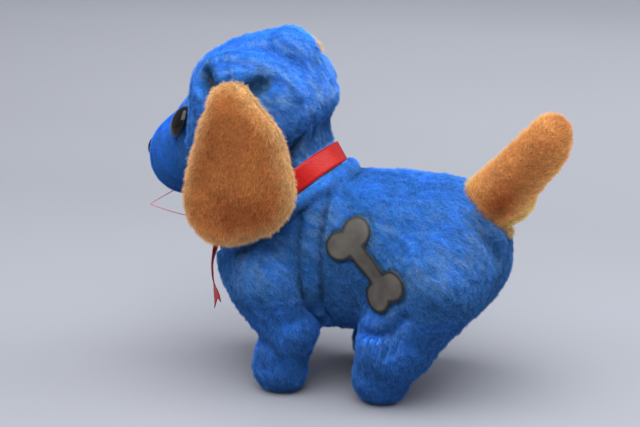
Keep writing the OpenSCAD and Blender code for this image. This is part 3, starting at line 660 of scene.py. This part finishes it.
def skin_with_legs(p, tops_only):
    """The torso, with its legs grown onto it. tops_only leaves out what is below the sleeves' cut."""
    d = torso(p)
    for leg, side in LEGS.values():
        q = p if side > 0 else mirrored(p)
        limb = whole_leg(q, leg)
        if tops_only:
            limb = carve(limb, LEG_CUT - p[..., 2], 0.8)
        d = join(d, limb, 7)
    return d + PILE_DEPTH


def body_field(p):
    d = details(p, skin_with_legs(p, True))
    fore, wide, up = neck_coordinates(p)
    ring = neck_ring(fore, wide)
    d = carve(d, up - NECK_TOP_CUT, 1.0)
    thick = 2.7 + 0.7 * unit(-fore / 30)
    hem = np.sqrt((ring - 31.6 + 1.8 * unit(-fore / 30)) ** 2 + (up + 4.9 + thick) ** 2) - thick
    d = join(d, hem, 2.5)
    groove = np.sqrt((ring - 34.8) ** 2 + (up + 6.8 + 1.6 * thick) ** 2)
    return d + 0.9 * bell(groove, 1.8)


def leg_field(name):
    leg, side = LEGS[name]

    def field(p):
        limb = whole_leg(p if side > 0 else mirrored(p), leg)
        d = details(p, skin_with_legs(p, False))
        d = carve(d, limb - 11, 0.8)
        d = carve(d, 12.5 - side * p[..., 1], 0.8)
        d = carve(d, p[..., 2] - LEG_CUT - 3.5, 0.8)
        return carve(d, 0.5 - p[..., 2], 2.0)

    return field


def grow_body():
    body, points, normals = soft_mesh("body_skin", body_field, (-84, -52, 22), (72, 52, 112))
    fore, wide, up = neck_coordinates(points)
    tint = mottle_and_painted_light(points, normals, BLUE)
    hem = bell(up + 7.4, 3.2)
    tint = tint * (1 + 0.15 * hem[:, None])
    side = folded(points)
    # painted shade in the grooves of the shoulder bands, the seam and the thigh fold, under the hem and in
    # the rump hollow
    lines = (BAND_FRONT, BAND_REAR, SEAM, THIGH_FOLD)
    painted_shade = sum(bell(to_line(side, line), 1.7) for line in lines)
    ring = neck_ring(fore, wide)
    painted_shade += 0.8 * np.exp(-(((ring - 35) ** 2 + (up + 11.7 + 1.1 * unit(-fore / 30)) ** 2) / 3.2))
    painted_shade += 0.7 * bell(to_line(side, RUMP_HOLLOW), 3.6)
    tint = tint * (1 - 0.6 * unit(painted_shade))[:, None]
    patch = np.where(points[:, 1] > 5, bone_distance(*patch_coordinates(points)), 99)
    printed = patch < 0.6
    # painted contact shadow on the skin round the patch's outline
    tint = tint * (1 - 0.6 * bell(np.maximum(patch, 0), 1.3))[:, None]
    hidden = ((up > -5.3) & (normals @ NECK_UP > 0.7)) | printed
    nap = np.where(hem > 0.3, 0.75, 1.0) * (1 - 0.45 * unit(painted_shade))
    thick = np.where(hidden, 0, 1.0)
    grow_pile(body, points, normals, LIE, tint, nap, thick)
    finish_piece(body, "root", ["body_plush"])


def grow_leg(name):
    leg, side = LEGS[name]
    places = [leg[part][0] for part in ("foot", "knee", "hip")]
    low = (min(places) - 44, (-8 if side > 0 else -54), -2)
    high = (max(places) + 44, (54 if side > 0 else 8), LEG_CUT + 6)
    made, points, normals = soft_mesh("leg_" + name + "_skin", leg_field(name), low, high)
    under = points[:, 2] < 2.2
    thick = np.where(under & (normals[:, 2] < -0.6), 0.25, 1.0) * np.where(normals[:, 2] > 0.9, 0, 1)
    comb = (-0.35, 0, -0.9)
    grow_pile(made, points, normals, comb, mottle_and_painted_light(points, normals, LEG_BLUE, comb, 0.2), 1.0, thick)
    bend_piece(made, "leg_plush_" + name)


# ---- Head ----
HEAD_CENTRE = np.array([24.0, 0.0, 104.0])
YAW, ROLL = math.radians(-6), math.radians(-5)


def about_y(angle):
    c, s = math.cos(angle), math.sin(angle)
    return np.array([[c, 0, s], [0, 1, 0], [-s, 0, c]])


def about_z(angle):
    c, s = math.cos(angle), math.sin(angle)
    return np.array([[c, -s, 0], [s, c, 0], [0, 0, 1]])


HEAD_TURN = about_z(YAW) @ np.array([[1, 0, 0], [0, math.cos(ROLL), -math.sin(ROLL)],
                                     [0, math.sin(ROLL), math.cos(ROLL)]])
MUZZLE_PLANE = 78.5
NOSE_AT = np.array([102.0, 0.0, 106.0])
OVERLAP = 2.5
EYE_RADIUS, NOSE_RADIUS = 8.0, 5.0
HOOD_REACH = 17.5


def head_local(p):
    return ((p - HEAD_CENTRE) @ HEAD_TURN + HEAD_CENTRE).astype(np.float32)


def head_world(p):
    return (np.asarray(p, float) - HEAD_CENTRE) @ HEAD_TURN.T + HEAD_CENTRE


HOOD_EDGE_X = 66.9
FOLD = [(62, 14, 154), (52, 17.5, 158), (39, 19, 159.5), (27, 19.8, 156), (18, 19, 151), (13, 19.5, 145)]
FOLD_TROUGH = [(57, 11, 158), (46, 12, 161.5), (34, 13.5, 162.5), (23, 14, 159.5), (15, 12.5, 154)]
EAR_DIMPLES = ([(61, 20, 150), (57, 25, 147.5), (52.5, 30, 144.5)],
               [(30, 26.5, 149.5), (33, 29, 147), (36, 32, 144)])


def loose_head(p):
    """The head skin, loose like a hood over the skull, without the muzzle."""
    d = ball(p, (50, 0, 124), 32)
    d = join(d, ball(p, (40.5, 0, 131), 33.5), 14)
    d = join(d, cone(p, (40.5, 0, 131), (27.5, 0, 156), 33.5, 14.3), 5)
    d = join(d, cone(p, (50, 0, 124), (55, 0, 132.5), 32, 21), 7)
    return join(d, cone(p, (34, 0, 110), (36, 0, 98), 26, 25), 8)


def head_and_muzzle(p):
    """Whole head in its own pose: the hood ends in an edge over the eyes, and the face shows below it."""
    hood = loose_head(p)
    face = hood + 4.0
    near = np.abs(hood) < 12
    q = folded(p[near])
    change = crease(q, FOLD_TROUGH, 4.0, 1.5) - crease(q, FOLD, 2.8, 2.0)
    change += crease(q, EAR_DIMPLES[0], 3.6, 10.5) + crease(q, EAR_DIMPLES[1], 3.3, 10.5)
    change -= crease(q, [(50, 24, 152.5), (42, 25, 154), (37, 25, 153.5)], 3.2, 1.6)
    change += crease(q, [(24, 0, 171), (32, 8, 167), (40, 7, 166)], 5, -0.8)
    change += 0.5 * noise(q, 24, 7) + 0.2 * noise(q, 10, 8)
    hood[near] += change
    edge = HOOD_EDGE_X + 0.012 * (p[..., 2] - 134) ** 2 + 5 * (1 - unit(np.abs(p[..., 1]) / 30) ** 2)
    hood = carve(hood, p[..., 0] - edge, 3.0)
    muzzle = cone(p, (70, 0, 111.5), (84, 0, 103.5), 23, 19)
    muzzle = join(muzzle, ball(p, (83, 0, 107.5), 17.2), 4)
    face = join(face, muzzle, 9)
    face = face + crease(p, [(90, 0, 128), (96, 0, 122)], 5, 0.6)
    return join(hood, face, 0.8)


def eye_frame(side):
    """Middle and turn of an eye, in the head's pose. The turn's third axis points outwards."""
    turn = about_z(math.radians(34 * side)) @ about_y(math.radians(63))
    return np.array([75.2, 19.5 * side, 126.0]), turn


def button_pockets(p):
    """Hollows that the eye buttons sit in."""
    d = np.full(p.shape[:-1], 99.0, np.float32)
    for side in (1, -1):
        at, turn = eye_frame(side)
        q = (p - at) @ turn
        flat = np.sqrt(q[..., 0] ** 2 + q[..., 1] ** 2) - EYE_RADIUS - 0.3
        d = np.minimum(d, np.maximum(flat, np.abs(q[..., 2] - 9.6) - 10))
    return d.astype(np.float32)


def head_field(part):
    def field(p):
        q = head_local(p)
        d = head_and_muzzle(q) + 0.9
        d = carve(d, -button_pockets(q), 1.5)
        if part == "muzzle":
            return carve(d, MUZZLE_PLANE - q[..., 0], 0.4)
        d = carve(d, q[..., 0] - MUZZLE_PLANE - OVERLAP, 0.4)
        return carve(d, HOOD_REACH - 1.6 * (p[..., 1] / 29) ** 2 - neck_coordinates(p)[2], 9.0)

    return field


def grow_head():
    made, points, normals = soft_mesh("head_skin", head_field("head"), (-22, -52, 82), (86, 52, 178))
    q = head_local(points)
    side = folded(q)
    # the head's blue is made 1.28 times brighter than the body's, as painted light on the top of the toy
    tint = 1.28 * mottle_and_painted_light(points, normals, BLUE, sheen_share=0.7)
    # painted shade in the dimples where the ears are sewn in
    painted_shade = sum(bell(to_line(side, line), 4.2) for line in EAR_DIMPLES)
    painted_shade = unit(1.5 * painted_shade)
    tint = tint * (1 - 0.93 * painted_shade)[:, None]
    inside = q[:, 0] > MUZZLE_PLANE + OVERLAP - 0.8
    hole = button_pockets(q) < 0.6
    face = q[:, 0] > HOOD_EDGE_X + 6
    nap = np.where(face, 0.6, 1.0) * (1 - 0.6 * painted_shade)
    thick = np.where(inside | hole, 0, 1.0)
    comb = np.stack([-np.ones(len(points)), 0 * q[:, 1], np.where(q[:, 0] < 30, -0.7, -0.15)], 1)
    grow_pile(made, points, normals, comb, tint, nap, thick)
    finish_piece(made, "head", ["head_plush"])
    made, points, normals = soft_mesh("muzzle_skin", head_field("muzzle"), (70, -36, 78), (112, 30, 140),
                                      0.8, 0.15)
    q = head_local(points)
    inside = q[:, 0] < MUZZLE_PLANE + 0.4
    hole = (button_pockets(q) < 0.6) | (np.linalg.norm(q - NOSE_AT, axis=1) < 6.5)
    # the face's brighter blue is painted light on the muzzle
    tint = mottle_and_painted_light(points, normals, LIT_FACE_BLUE, sheen_share=0.06)
    thick = np.where(inside | hole, 0, 1.0)
    grow_pile(made, points, normals, (-1, 0, -0.2), tint, 1.0, thick, "face")
    finish_piece(made, "head", ["muzzle_plush"])


# ---- Neck ----
def grow_neck():
    """The gathered skin of the neck, from under the ribbon up into the hood."""
    rounds, rows = 360, 46
    angles = np.linspace(0, 2 * np.pi, rounds, endpoint=False)
    points = []
    for row in range(rows):
        s = -7 + 31 * row / (rows - 1)
        rise = unit((s - 5) / 16)
        bulge = -2.2 * math.exp(-((s - 14) / 4.5) ** 2)
        half = 29.9 - 3.6 * rise + bulge
        shift = -15 * rise * rise * (3 - 2 * rise)
        pleat = (0.9 * np.cos(13 * angles + 0.6 * math.sin(s / 4)) + 0.7 * np.cos(21 * angles + 2 + s / 9)
                 + 0.9 * np.cos(7 * angles + 1.2 - s / 14))
        grip = math.exp(-((s - 0.4) / 4.5) ** 2)
        r = half + pleat * (1 - 0.75 * grip)
        fold = to_angle(angles, 2.02 + 0.015 * s)
        sunk, raised = bell(fold, 0.13), bell(fold - 0.24, 0.1)
        r = r - 3.2 * sunk * (1 - grip) + 1.6 * raised * (1 - grip)
        ca, sa = np.cos(angles), np.sin(angles)
        fore = flat_part(ca) * (1 - rise) + r * ca + shift
        ring = COLLAR + fore[:, None] * NECK_FORE + (r * sa)[:, None] * vec(0, 1, 0) + s * NECK_UP
        points.append(ring)
    points = np.concatenate(points)
    made = mesh_object("neck_skin", points, grid_faces(rows, rounds, columns_close=True), SKIN)
    normals = np.array([v.normal for v in made.data.vertices])
    s = neck_coordinates(points)[2]
    # the neck's blue is darkened to 0.9 as painted shade under the hood's overhang
    tint = mottle_and_painted_light(points, normals, np.array(BLUE) * 0.9)
    grow_pile(made, points, normals, tuple(-NECK_UP), tint, 0.8, np.where((s > 7) & (s < 24), 1.0, 0.0))
    thicken(made, 0.0012, -1)
    bend_piece(made, "neck_plush")


def flat_part(across):
    """How far the neck's ring is drawn out at a cosine across."""
    return np.sign(across) * NECK_FLAT * np.minimum(1, np.abs(across) * 3)


def to_angle(angles, centre):
    """Signed difference of angles from a centre."""
    return (angles - centre + np.pi) % (2 * np.pi) - np.pi


# ---- Tail ----
TAIL_PIVOT = vec(-55, 0, 82.5)
TAIL_LEAN = math.radians(42.4)
TAIL_UP = vec(-math.sin(TAIL_LEAN), 0, math.cos(TAIL_LEAN))
TAIL_FORE = vec(math.cos(TAIL_LEAN), 0, math.sin(TAIL_LEAN))
TAIL_TAN = np.array(TAN) * (0.94, 1.12, 1.45)
# pale tan of the painted highlight along the tail's rim
TAIL_RIM_HIGHLIGHT = srgb(252, 214, 146)


def tail_coordinates(p):
    q = p - TAIL_PIVOT
    return q @ TAIL_FORE, q[..., 1], q @ TAIL_UP


def tail_field(p):
    fore, wide, up = tail_coordinates(p)
    q = np.stack([fore, wide, up], -1).astype(np.float32)
    d = cone(q, (-2.9, 0, 14), (-1.9, 0, 55), 14.0, 10.8)
    d = join(d, ball(q, (0.8, 0, 61.5), 7.4), 6)
    d = join(d, ball(q, (-5.8, 0, 25), 11.9), 4)
    d = join(d, ball(q, (-17.6, 0.5, 12.6), 3.4), 2.5)
    near = np.abs(d) < 6
    s = q[near]
    d[near] += (crease(s, [(-11, 6, 54), (-9, 8.5, 59), (-4, 8.5, 64), (1, 6.5, 67)], 1.3, 1.8)
                + crease(s, [(-14, 0, 22), (-14, 0, 50), (-9, 0, 63)], 1.4, 1.2)
                + 0.7 * noise(s, 15, 9) + 0.3 * noise(s, 7, 10))
    return d + PILE_DEPTH


def grow_tail():
    made, points, normals = soft_mesh("tail_skin", tail_field, (-116, -18, 76), (-44, 18, 142), 0.9)
    fore, wide, up = tail_coordinates(points)
    # painted highlight along the tail's rim, paler towards its edges
    rim = unit(np.abs(fore + 2.6) / 12.5) ** 2
    spot = np.exp(-((up - 24.5) ** 2 / 70 + (fore + 8) ** 2 / 45)) * (wide > 0)
    deep = np.clip(0.2 + 0.6 * noise(points, 13, 12) + 0.9 * spot, 0, 1.1) * (1 - rim)
    tint = toward(toward(TAIL_TAN, TAIL_RIM_HIGHLIGHT, rim), TAN_DEEP, deep)
    tint = tint * (1.15 + 0.1 * noise(points, 3, 13))[:, None]
    grow_pile(made, points, normals, TAIL_UP, tint, 1.0, np.where(up < 10, 0, 1.0), "tan")
    bend_piece(made, "tail_plush")


# ---- Ears ----
EAR_THICK = 8.0
EAR_PLACES = {  # root, swing in the ear's plane, side and moving body
    "ear_left": (vec(36, 43, 156), 0.0, 1, "left_ear"),
    "ear_right": (vec(32, -41.5, 157), math.radians(30), -1, "right_ear"),
}


def ear_outline(x, z):
    """Signed distance to an ear's outline in its own plane; x runs forwards and z up from its top edge."""
    q = np.stack([x, np.zeros_like(x), z], -1)
    d = cone(q, (1.2, 0, -13.8), (-3.2, 0, -31), 12.6, 21.7)
    d = join(d, cone(q, (-3.2, 0, -31), (-2, 0, -48), 21.7, 27.4), 3)
    return join(d, ball(q, (9, 0, -60.5), 20), 6)


def ear_field(name):
    at, swing, side, _ = EAR_PLACES[name]
    c, s = math.cos(swing), math.sin(swing)

    def local(p):
        q = head_local(p) - at
        x = c * q[..., 0] + s * q[..., 2]
        z = -s * q[..., 0] + c * q[..., 2]
        return x, q[..., 1] * side, z

    def field(p):
        x, y, z = local(p)
        curl = (5.5 if side > 0 else 1.0) * unit((z + 20) / 20) ** 2
        cup = 0.0016 * (x * x) + 0.7 * np.sin(x / 11 + 1) + 0.6 * np.sin(z / 13)
        outline = ear_outline(x if side > 0 else 1.13 * x, z)
        puff = np.abs(y + curl + cup) - EAR_THICK / 2 - 0.8 + 0.5 * unit((z + 30) / 30)
        d = carve(outline, puff, 7.5)
        near = np.abs(d) < 5
        q = np.stack([x[near], y[near], z[near]], -1)
        d[near] += 0.5 * noise(q, 14, 20 + side) + 0.25 * noise(q, 6, 21)
        return d + 1.0

    return field, local


def grow_ear(name):
    field, local = ear_field(name)
    at, _, side, body = EAR_PLACES[name]
    low, high = ((-10, 24, 64), (76, 62, 168)) if side > 0 else ((-12, -64, 60), (88, -22, 172))
    made, points, normals = soft_mesh(name + "_skin", field, low, high, 0.9)
    x, _, z = local(points)
    depth = unit(-ear_outline(x, z) / 9)
    # painted highlight along the ear's rim
    rim = (1 - depth) ** 1.5
    lower = unit((-38 - z) / 25)
    cloudy = 0.9 * noise(points, 16, 14) + 0.35 * noise(points, 6, 15)
    deep = unit(0.45 + 0.55 * lower + cloudy) * depth
    tint = toward(toward(TAN, TAN_RIM_HIGHLIGHT, rim), TAN_DEEP, 0.8 * deep)
    tint = tint * (1 + 0.1 * noise(points, 3, 16))[:, None]
    comb = np.array([0.0, 0.0, -1.0]) @ HEAD_TURN.T
    grow_pile(made, points, normals, comb, tint, 0.85 + 0.35 * rim, 1.0, "tan")
    bend_piece(made, name)


# ---- Buttons ----
def glossy_black():
    made, t = new_material("glossy_black")
    rough = span(t, noise_factor(t, 260, 4), {"To Min": 0.08, "To Max": 0.2})
    surface(t, {"Base Color": (0.006, 0.005, 0.005, 1), "Roughness": rough, "Specular IOR Level": 0.3})
    return made


def lathe(profile, at, turn, name, material, sides=64):
    """A turned piece from a profile of (radius, height) points, along turn's third axis."""
    points = []
    for radius, height in profile:
        for k in range(sides):
            a = 2 * math.pi * k / sides
            points.append((radius * math.cos(a), radius * math.sin(a), height))
    faces = grid_faces(len(profile), sides, columns_close=True)
    faces.append(tuple(range(sides))[::-1])
    faces.append(tuple((len(profile) - 1) * sides + k for k in range(sides)))
    points = np.array(points) @ turn.T + at
    return mesh_object(name, head_world(points), faces, material)


def dome(radius, height, stem):
    """Profile of a button: a stem, a flat back, a rounded rim and a dome."""
    rim = [(radius - 0.5, 0.0), (radius - 0.15, 0.15), (radius, 0.6)]
    steps = [(radius * math.cos(a), 0.6 + (height - 0.6) * math.sin(a))
             for a in (math.pi / 2 * k / 14 for k in range(1, 14))]
    return [(1.4, -stem), (1.4, -0.02), (radius - 1.2, -0.02)] + rim + steps + [(0.25, height)]


def make_buttons():
    black = glossy_black()
    for node, side in (("eye_left", 1), ("eye_right", -1)):
        at, turn = eye_frame(side)
        made = lathe(dome(EYE_RADIUS, 5.0, 6), at + 0.1 * turn[:, 2], turn, node + "_button", black)
        finish_piece(made, "head", [node])
    turn = about_y(math.radians(84))
    made = lathe(dome(NOSE_RADIUS, 3.4, 5), NOSE_AT + 0.1 * turn[:, 2], turn, "nose_button", black)
    finish_piece(made, "head", ["nose"])


# ---- Ribbon ----
def satin():
    made, t = new_material("red_satin")
    place = t.add("ShaderNodeTexCoord").outputs["Object"]
    streak = t.add("ShaderNodeMapping", {"Vector": place, "Scale": (400, 400, 2600)}).outputs[0]
    thread = noise_factor(t, 1, 2, {"Vector": streak})
    colour = ramp(t, thread, [(0.3, srgb(172, 12, 9)), (0.7, srgb(204, 22, 14))])
    surface(t, {"Base Color": colour, "Roughness": 0.42, "Anisotropic": 0.6, "Specular IOR Level": 0.3,
                "Normal": bump(t, thread, 0.15, 0.0002)})
    return made


RIBBON_WIDTH = 10
RIBBON_THICK = 0.4
BAND_STEPS, END_STEPS = 220, 60


def strip(name, centres, acrosses, material, closed=False, columns=9, vee=0.0, slant=0.0):
    """A ribbon through centres, each with its across direction and half width.

    vee and slant shape its cut end.
    """
    points = []
    count = len(centres)
    for i in range(count):
        for j in range(columns):
            u = 2 * j / (columns - 1) - 1
            p = np.array(centres[i], float) + u * np.array(acrosses[i], float)
            if vee and i > 0:
                along = np.array(centres[i], float) - np.array(centres[i - 1], float)
                along /= np.linalg.norm(along)
                share = max(0.0, (i - count * 0.6) / (count * 0.4))
                p = p - along * (vee * (1 - abs(u)) + slant * u) * share
            points.append(p)
    made = mesh_object(name, points, grid_faces(count, columns, rows_close=closed), material)
    thicken(made, RIBBON_THICK * MM, 0)
    return made


def make_ribbon():
    red = satin()
    centres, acrosses = [], []
    for k in range(BAND_STEPS):
        a = 2 * math.pi * k / BAND_STEPS
        ca, sa = math.cos(a), math.sin(a)
        r = 31.7 + 0.25 * math.sin(5 * a) + 0.15 * math.sin(11 * a + 1)
        fore = flat_part(ca) + r * ca
        lift = 0.4 + 0.5 * math.sin(3 * a + 0.4)
        lean = 0.6 * math.sin(4 * a)
        centres.append(COLLAR + fore * NECK_FORE + r * sa * vec(0, 1, 0) + lift * NECK_UP)
        acrosses.append(RIBBON_WIDTH / 2 * NECK_UP + lean * (ca * NECK_FORE + sa * vec(0, 1, 0)))
    band = strip("ribbon_band", centres, acrosses, red, closed=True)
    finish_piece(band, "root", ["neck_ribbon"])
    for name, side, length in (("ribbon_end_left", 1, 35.0), ("ribbon_end_right", -1, 30.0)):
        centres, acrosses = [], []
        for k in range(END_STEPS):
            t = k / (END_STEPS - 1)
            turn = math.radians(8 - 26 * ease(t / 0.5) - 22 * ease((t - 0.5) / 0.4))
            pinch = 5 * (0.6 + 0.4 * ease((t - 0.2) / 0.5))
            out = 66.4 + 2.4 * ease(t / 0.45) - 1.9 * ease((t - 0.5) / 0.5)
            if side > 0:
                centres.append((out, 1.7 + 0.8 * math.sin(5 * t), 65 - length * t))
            else:
                centres.append((65.8 - 4 * t * t, -3.4 - 4 * t, 64.5 - 0.96 * length * t))
            acrosses.append((pinch * math.sin(turn), pinch * math.cos(turn), 0))
        end = strip(name, centres, acrosses, red, vee=4.0, slant=3.2)
        finish_piece(end, "root")
    knot = knot_mesh(red)
    finish_piece(knot, "root")


def ease(t):
    t = min(1, max(0, t))
    return t * t * (3 - 2 * t)


def knot_mesh(red):
    """The knot: a small pillow of ribbon wrapped round itself."""
    def field(p):
        d = egg(p, (64.0, 0, 67.6), (2.6, 5.6, 3.6))
        for side in (1, -1):
            d = join(d, cone(p, (65.0, 1.6 * side, 66.5), (66.6, 1.8 * side, 63.0), 1.7, 1.0), 2)
            groove = [(67, 2.4 * side, 70), (67.6, 2.0 * side, 67), (67.2, 2.2 * side, 63)]
            d = d + crease(p, groove, 0.6, 0.7)
        return d

    made = soft_mesh("ribbon_knot", field, (60, -12, 56), (74, 12, 74), 0.45, 0.0)[0]
    made.data.materials[0] = red
    return made


# ---- Bone patch ----
def printed_felt():
    made, t = new_material("printed_patch")
    rim = t.add("ShaderNodeAttribute", attribute_name="rim").outputs["Fac"]
    ground = ramp(t, noise_factor(t, 90, 3), [(0.3, srgb(62, 58, 54)), (0.7, srgb(92, 86, 78))])
    colour = mix_colour(t, rim, ground, srgb(22, 20, 20))
    surface(t, {"Base Color": colour, "Roughness": 0.62,
                "Normal": bump(t, noise_factor(t, 2600, 2), 0.3, 0.0002)})
    return made


BONE_LENGTH = 42
BONE_AT = (-20, 15, 69)
BONE_TURN = math.radians(-47)


def bone_distance(u, v):
    """Signed distance to a bone shape of two lobes at each end."""
    knob = 0.16 * BONE_LENGTH
    reach = BONE_LENGTH / 2 - knob
    d = np.maximum(np.abs(u) - reach, np.abs(v) - 0.6 * knob)
    for end in (-1, 1):
        for lobe in (-1, 1):
            d = join(d, np.hypot(u - end * reach, v - lobe * 0.72 * knob) - knob, 2.0)
    return d


def patch_coordinates(points):
    """Along and across the patch, for points of the skin below it."""
    a, b = BONE_AT[0] - points[:, 0], points[:, 2] - BONE_AT[2]
    c, s = math.cos(BONE_TURN), math.sin(BONE_TURN)
    return a * c + b * s, b * c - a * s


def make_patch():
    """The patch lies on the flank: a grid cut to the bone's outline and pushed onto the skin."""
    step = 0.5
    span_u, span_v = BONE_LENGTH / 2 + 2, 15
    us, vs = np.arange(-span_u, span_u + step, step), np.arange(-span_v, span_v + step, step)
    u, v = np.meshgrid(us, vs, indexing="ij")
    distance = bone_distance(u, v)
    gu, gv = np.gradient(distance, step)
    norm = np.maximum(np.hypot(gu, gv), 1e-6)
    snap = (distance > 0) & (distance < 0.75 * step)
    u = np.where(snap, u - distance * gu / norm, u)
    v = np.where(snap, v - distance * gv / norm, v)
    keep = distance < 0.75 * step
    index = -np.ones(u.shape, int)
    index[keep] = np.arange(keep.sum())
    x = BONE_AT[0] - (u * math.cos(BONE_TURN) - v * math.sin(BONE_TURN))[keep]
    z = BONE_AT[2] + (u * math.sin(BONE_TURN) + v * math.cos(BONE_TURN))[keep]
    y = np.full(len(x), 60.0)
    for _ in range(60):
        p = np.stack([x, y, z], 1).astype(np.float32)
        y = y - np.clip(skin_with_legs(p, True) - PILE_DEPTH - 0.3, -2, 2)
    faces = []
    for i in range(u.shape[0] - 1):
        for j in range(u.shape[1] - 1):
            quad = (index[i, j], index[i + 1, j], index[i + 1, j + 1], index[i, j + 1])
            if min(quad) >= 0:
                faces.append(quad)
    made = mesh_object("bone_patch_print", np.stack([x, y, z], 1), faces, printed_felt())
    rim = unit((distance[keep] + 1.5) / 0.7)
    set_attribute(made, "rim", "FLOAT", rim)
    thicken(made, 0.0005, 0)
    finish_piece(made, "root", ["bone_patch"])


# ---- Thread ----
def make_thread():
    route = [(x, -6, z) for x, z in (
        (92, 84.9), (95, 83.1), (98, 81.3), (101, 79.5), (103.4, 78), (104.5, 77.2), (104.4, 76.7),
        (103, 76.3), (100, 75.5), (97, 74.8), (94, 74.1), (91, 73.5), (88, 73), (85.4, 72.7))]
    curve = bpy.data.curves.new("mouth_thread_line", "CURVE")
    curve.dimensions = "3D"
    curve.bevel_depth = 0.25 * MM
    curve.bevel_resolution = 4
    curve.use_fill_caps = True
    line = curve.splines.new("POLY")
    line.points.add(len(route) - 1)
    for point, place in zip(line.points, route):
        point.co = (*(x * MM for x in place), 1)
    made_material, t = new_material("pink_thread")
    place = t.add("ShaderNodeTexCoord").outputs["Object"]
    twist = t.add("ShaderNodeTexWave", {"Vector": place, "Scale": 900, "Distortion": 1})
    colour = ramp(t, twist.outputs["Fac"], [(0.2, srgb(196, 110, 130)), (0.8, srgb(236, 170, 182))])
    surface(t, {"Base Color": colour, "Roughness": 0.7})
    curve.materials.append(made_material)
    made = add_object("mouth_thread_line", curve)
    finish_piece(made, "head", ["mouth_thread"])


# ---- Carried-over mechanism ----
def moulded(name, colour, roughness, metallic=0.0, grain=700):
    made, t = new_material(name)
    wear = noise_factor(t, 60, 3)
    shade = ramp(t, wear, [(0.3, tuple(0.82 * c for c in colour)),
                           (0.7, tuple(min(1, 1.12 * c) for c in colour))])
    rough = span(t, wear, {"To Min": roughness * 0.8, "To Max": min(1, roughness * 1.3)})
    surface(t, {"Base Color": shade, "Roughness": rough, "Metallic": metallic,
                "Normal": bump(t, noise_factor(t, grain, 4), 0.15, 0.0002)})
    return made


def paint_mechanism():
    """Every carried-over CAD node gets the material of its slot."""
    looks = {  # colour, roughness, then metallic and the size of the grain where they differ
        "grey_plastic": (srgb(70, 70, 76), 0.5),
        "white_plastic": (srgb(226, 222, 210), 0.45),
        "steel": (srgb(190, 192, 196), 0.28, 1.0, 1500),
        "brass_pinion": (srgb(206, 170, 92), 0.3, 1.0, 1500),
        "battery_wrap": (srgb(176, 138, 40), 0.35),
        "black_plastic": (srgb(28, 28, 30), 0.5),
        "circuit_green": (srgb(24, 92, 54), 0.4),
        "wire_red": (srgb(180, 30, 28), 0.4),
    }
    looks = {slot: moulded(slot, *look) for slot, look in looks.items()}
    slots = {s["node"]: s["material_slot"] for s in frame["record"]["subparts"]}
    for node, made in frame["nodes"].items():
        look = looks.get(slots[node])
        if look is not None:
            made.data.materials.clear()
            made.data.materials.append(look)


# ---- Stage ----
def make_stage():
    floor_material, t = new_material("floor")
    place = t.add("ShaderNodeTexCoord").outputs["Object"]
    mottle = t.add("ShaderNodeTexNoise", {"Vector": place, "Scale": 3, "Detail": 2})
    near = ramp(t, mottle.outputs["Fac"], [(0.3, srgb(153, 156, 165)), (0.7, srgb(157, 160, 169))])
    depth = t.add("ShaderNodeSeparateXYZ", {"Vector": place}).outputs["Y"]
    far = span(t, depth, {"From Min": -0.3, "From Max": -1.1})
    surface(t, {"Base Color": mix_colour(t, far, near, srgb(192, 195, 204)), "Roughness": 0.55})
    rows = []
    for k in range(13):
        a = math.pi / 2 * k / 12
        rows.append((-1400 - 700 * math.sin(a), 700 - 700 * math.cos(a)))
    profile = [(3000, 0), (-1400, 0)] + rows[1:] + [(-2100, 3500)]
    points = [(x, y, z) for y, z in profile for x in (-5000, 5000)]
    faces = [(2 * k, 2 * k + 1, 2 * k + 3, 2 * k + 2) for k in range(len(profile) - 1)]
    floor = mesh_object("floor", points, faces, floor_material)

    def area_light(name, place, energy, size, colour):
        data = bpy.data.lights.new(name, "AREA")
        data.energy, data.size, data.color = energy, size, colour
        turn_towards(add_object(name, data), place, AIM - Vector(place))

    area_light("key", (0.05, 0.42, 1.38), 40, 1.7, (1, 0.99, 0.98))
    area_light("fill", (-0.6, 1.3, 0.6), 1, 0.9, (0.98, 0.99, 1))
    area_light("rim", (-0.8, -0.3, 0.9), 5, 0.7, (1, 1, 1))
    world = bpy.data.worlds.new("studio")
    SCENE.world = world
    world.use_nodes = True
    sky = world.node_tree.nodes["Background"].inputs
    sky["Color"].default_value = (*srgb(216, 220, 228), 1)
    sky["Strength"].default_value = 0.38
    SCENE.view_settings.view_transform = "Standard"


make_thread()
grow_body()
for leg_name in LEGS:
    grow_leg(leg_name)
grow_head()
grow_neck()
grow_tail()
for ear_name in EAR_PLACES:
    grow_ear(ear_name)
make_buttons()
make_ribbon()
make_patch()
paint_mechanism()
make_stage()
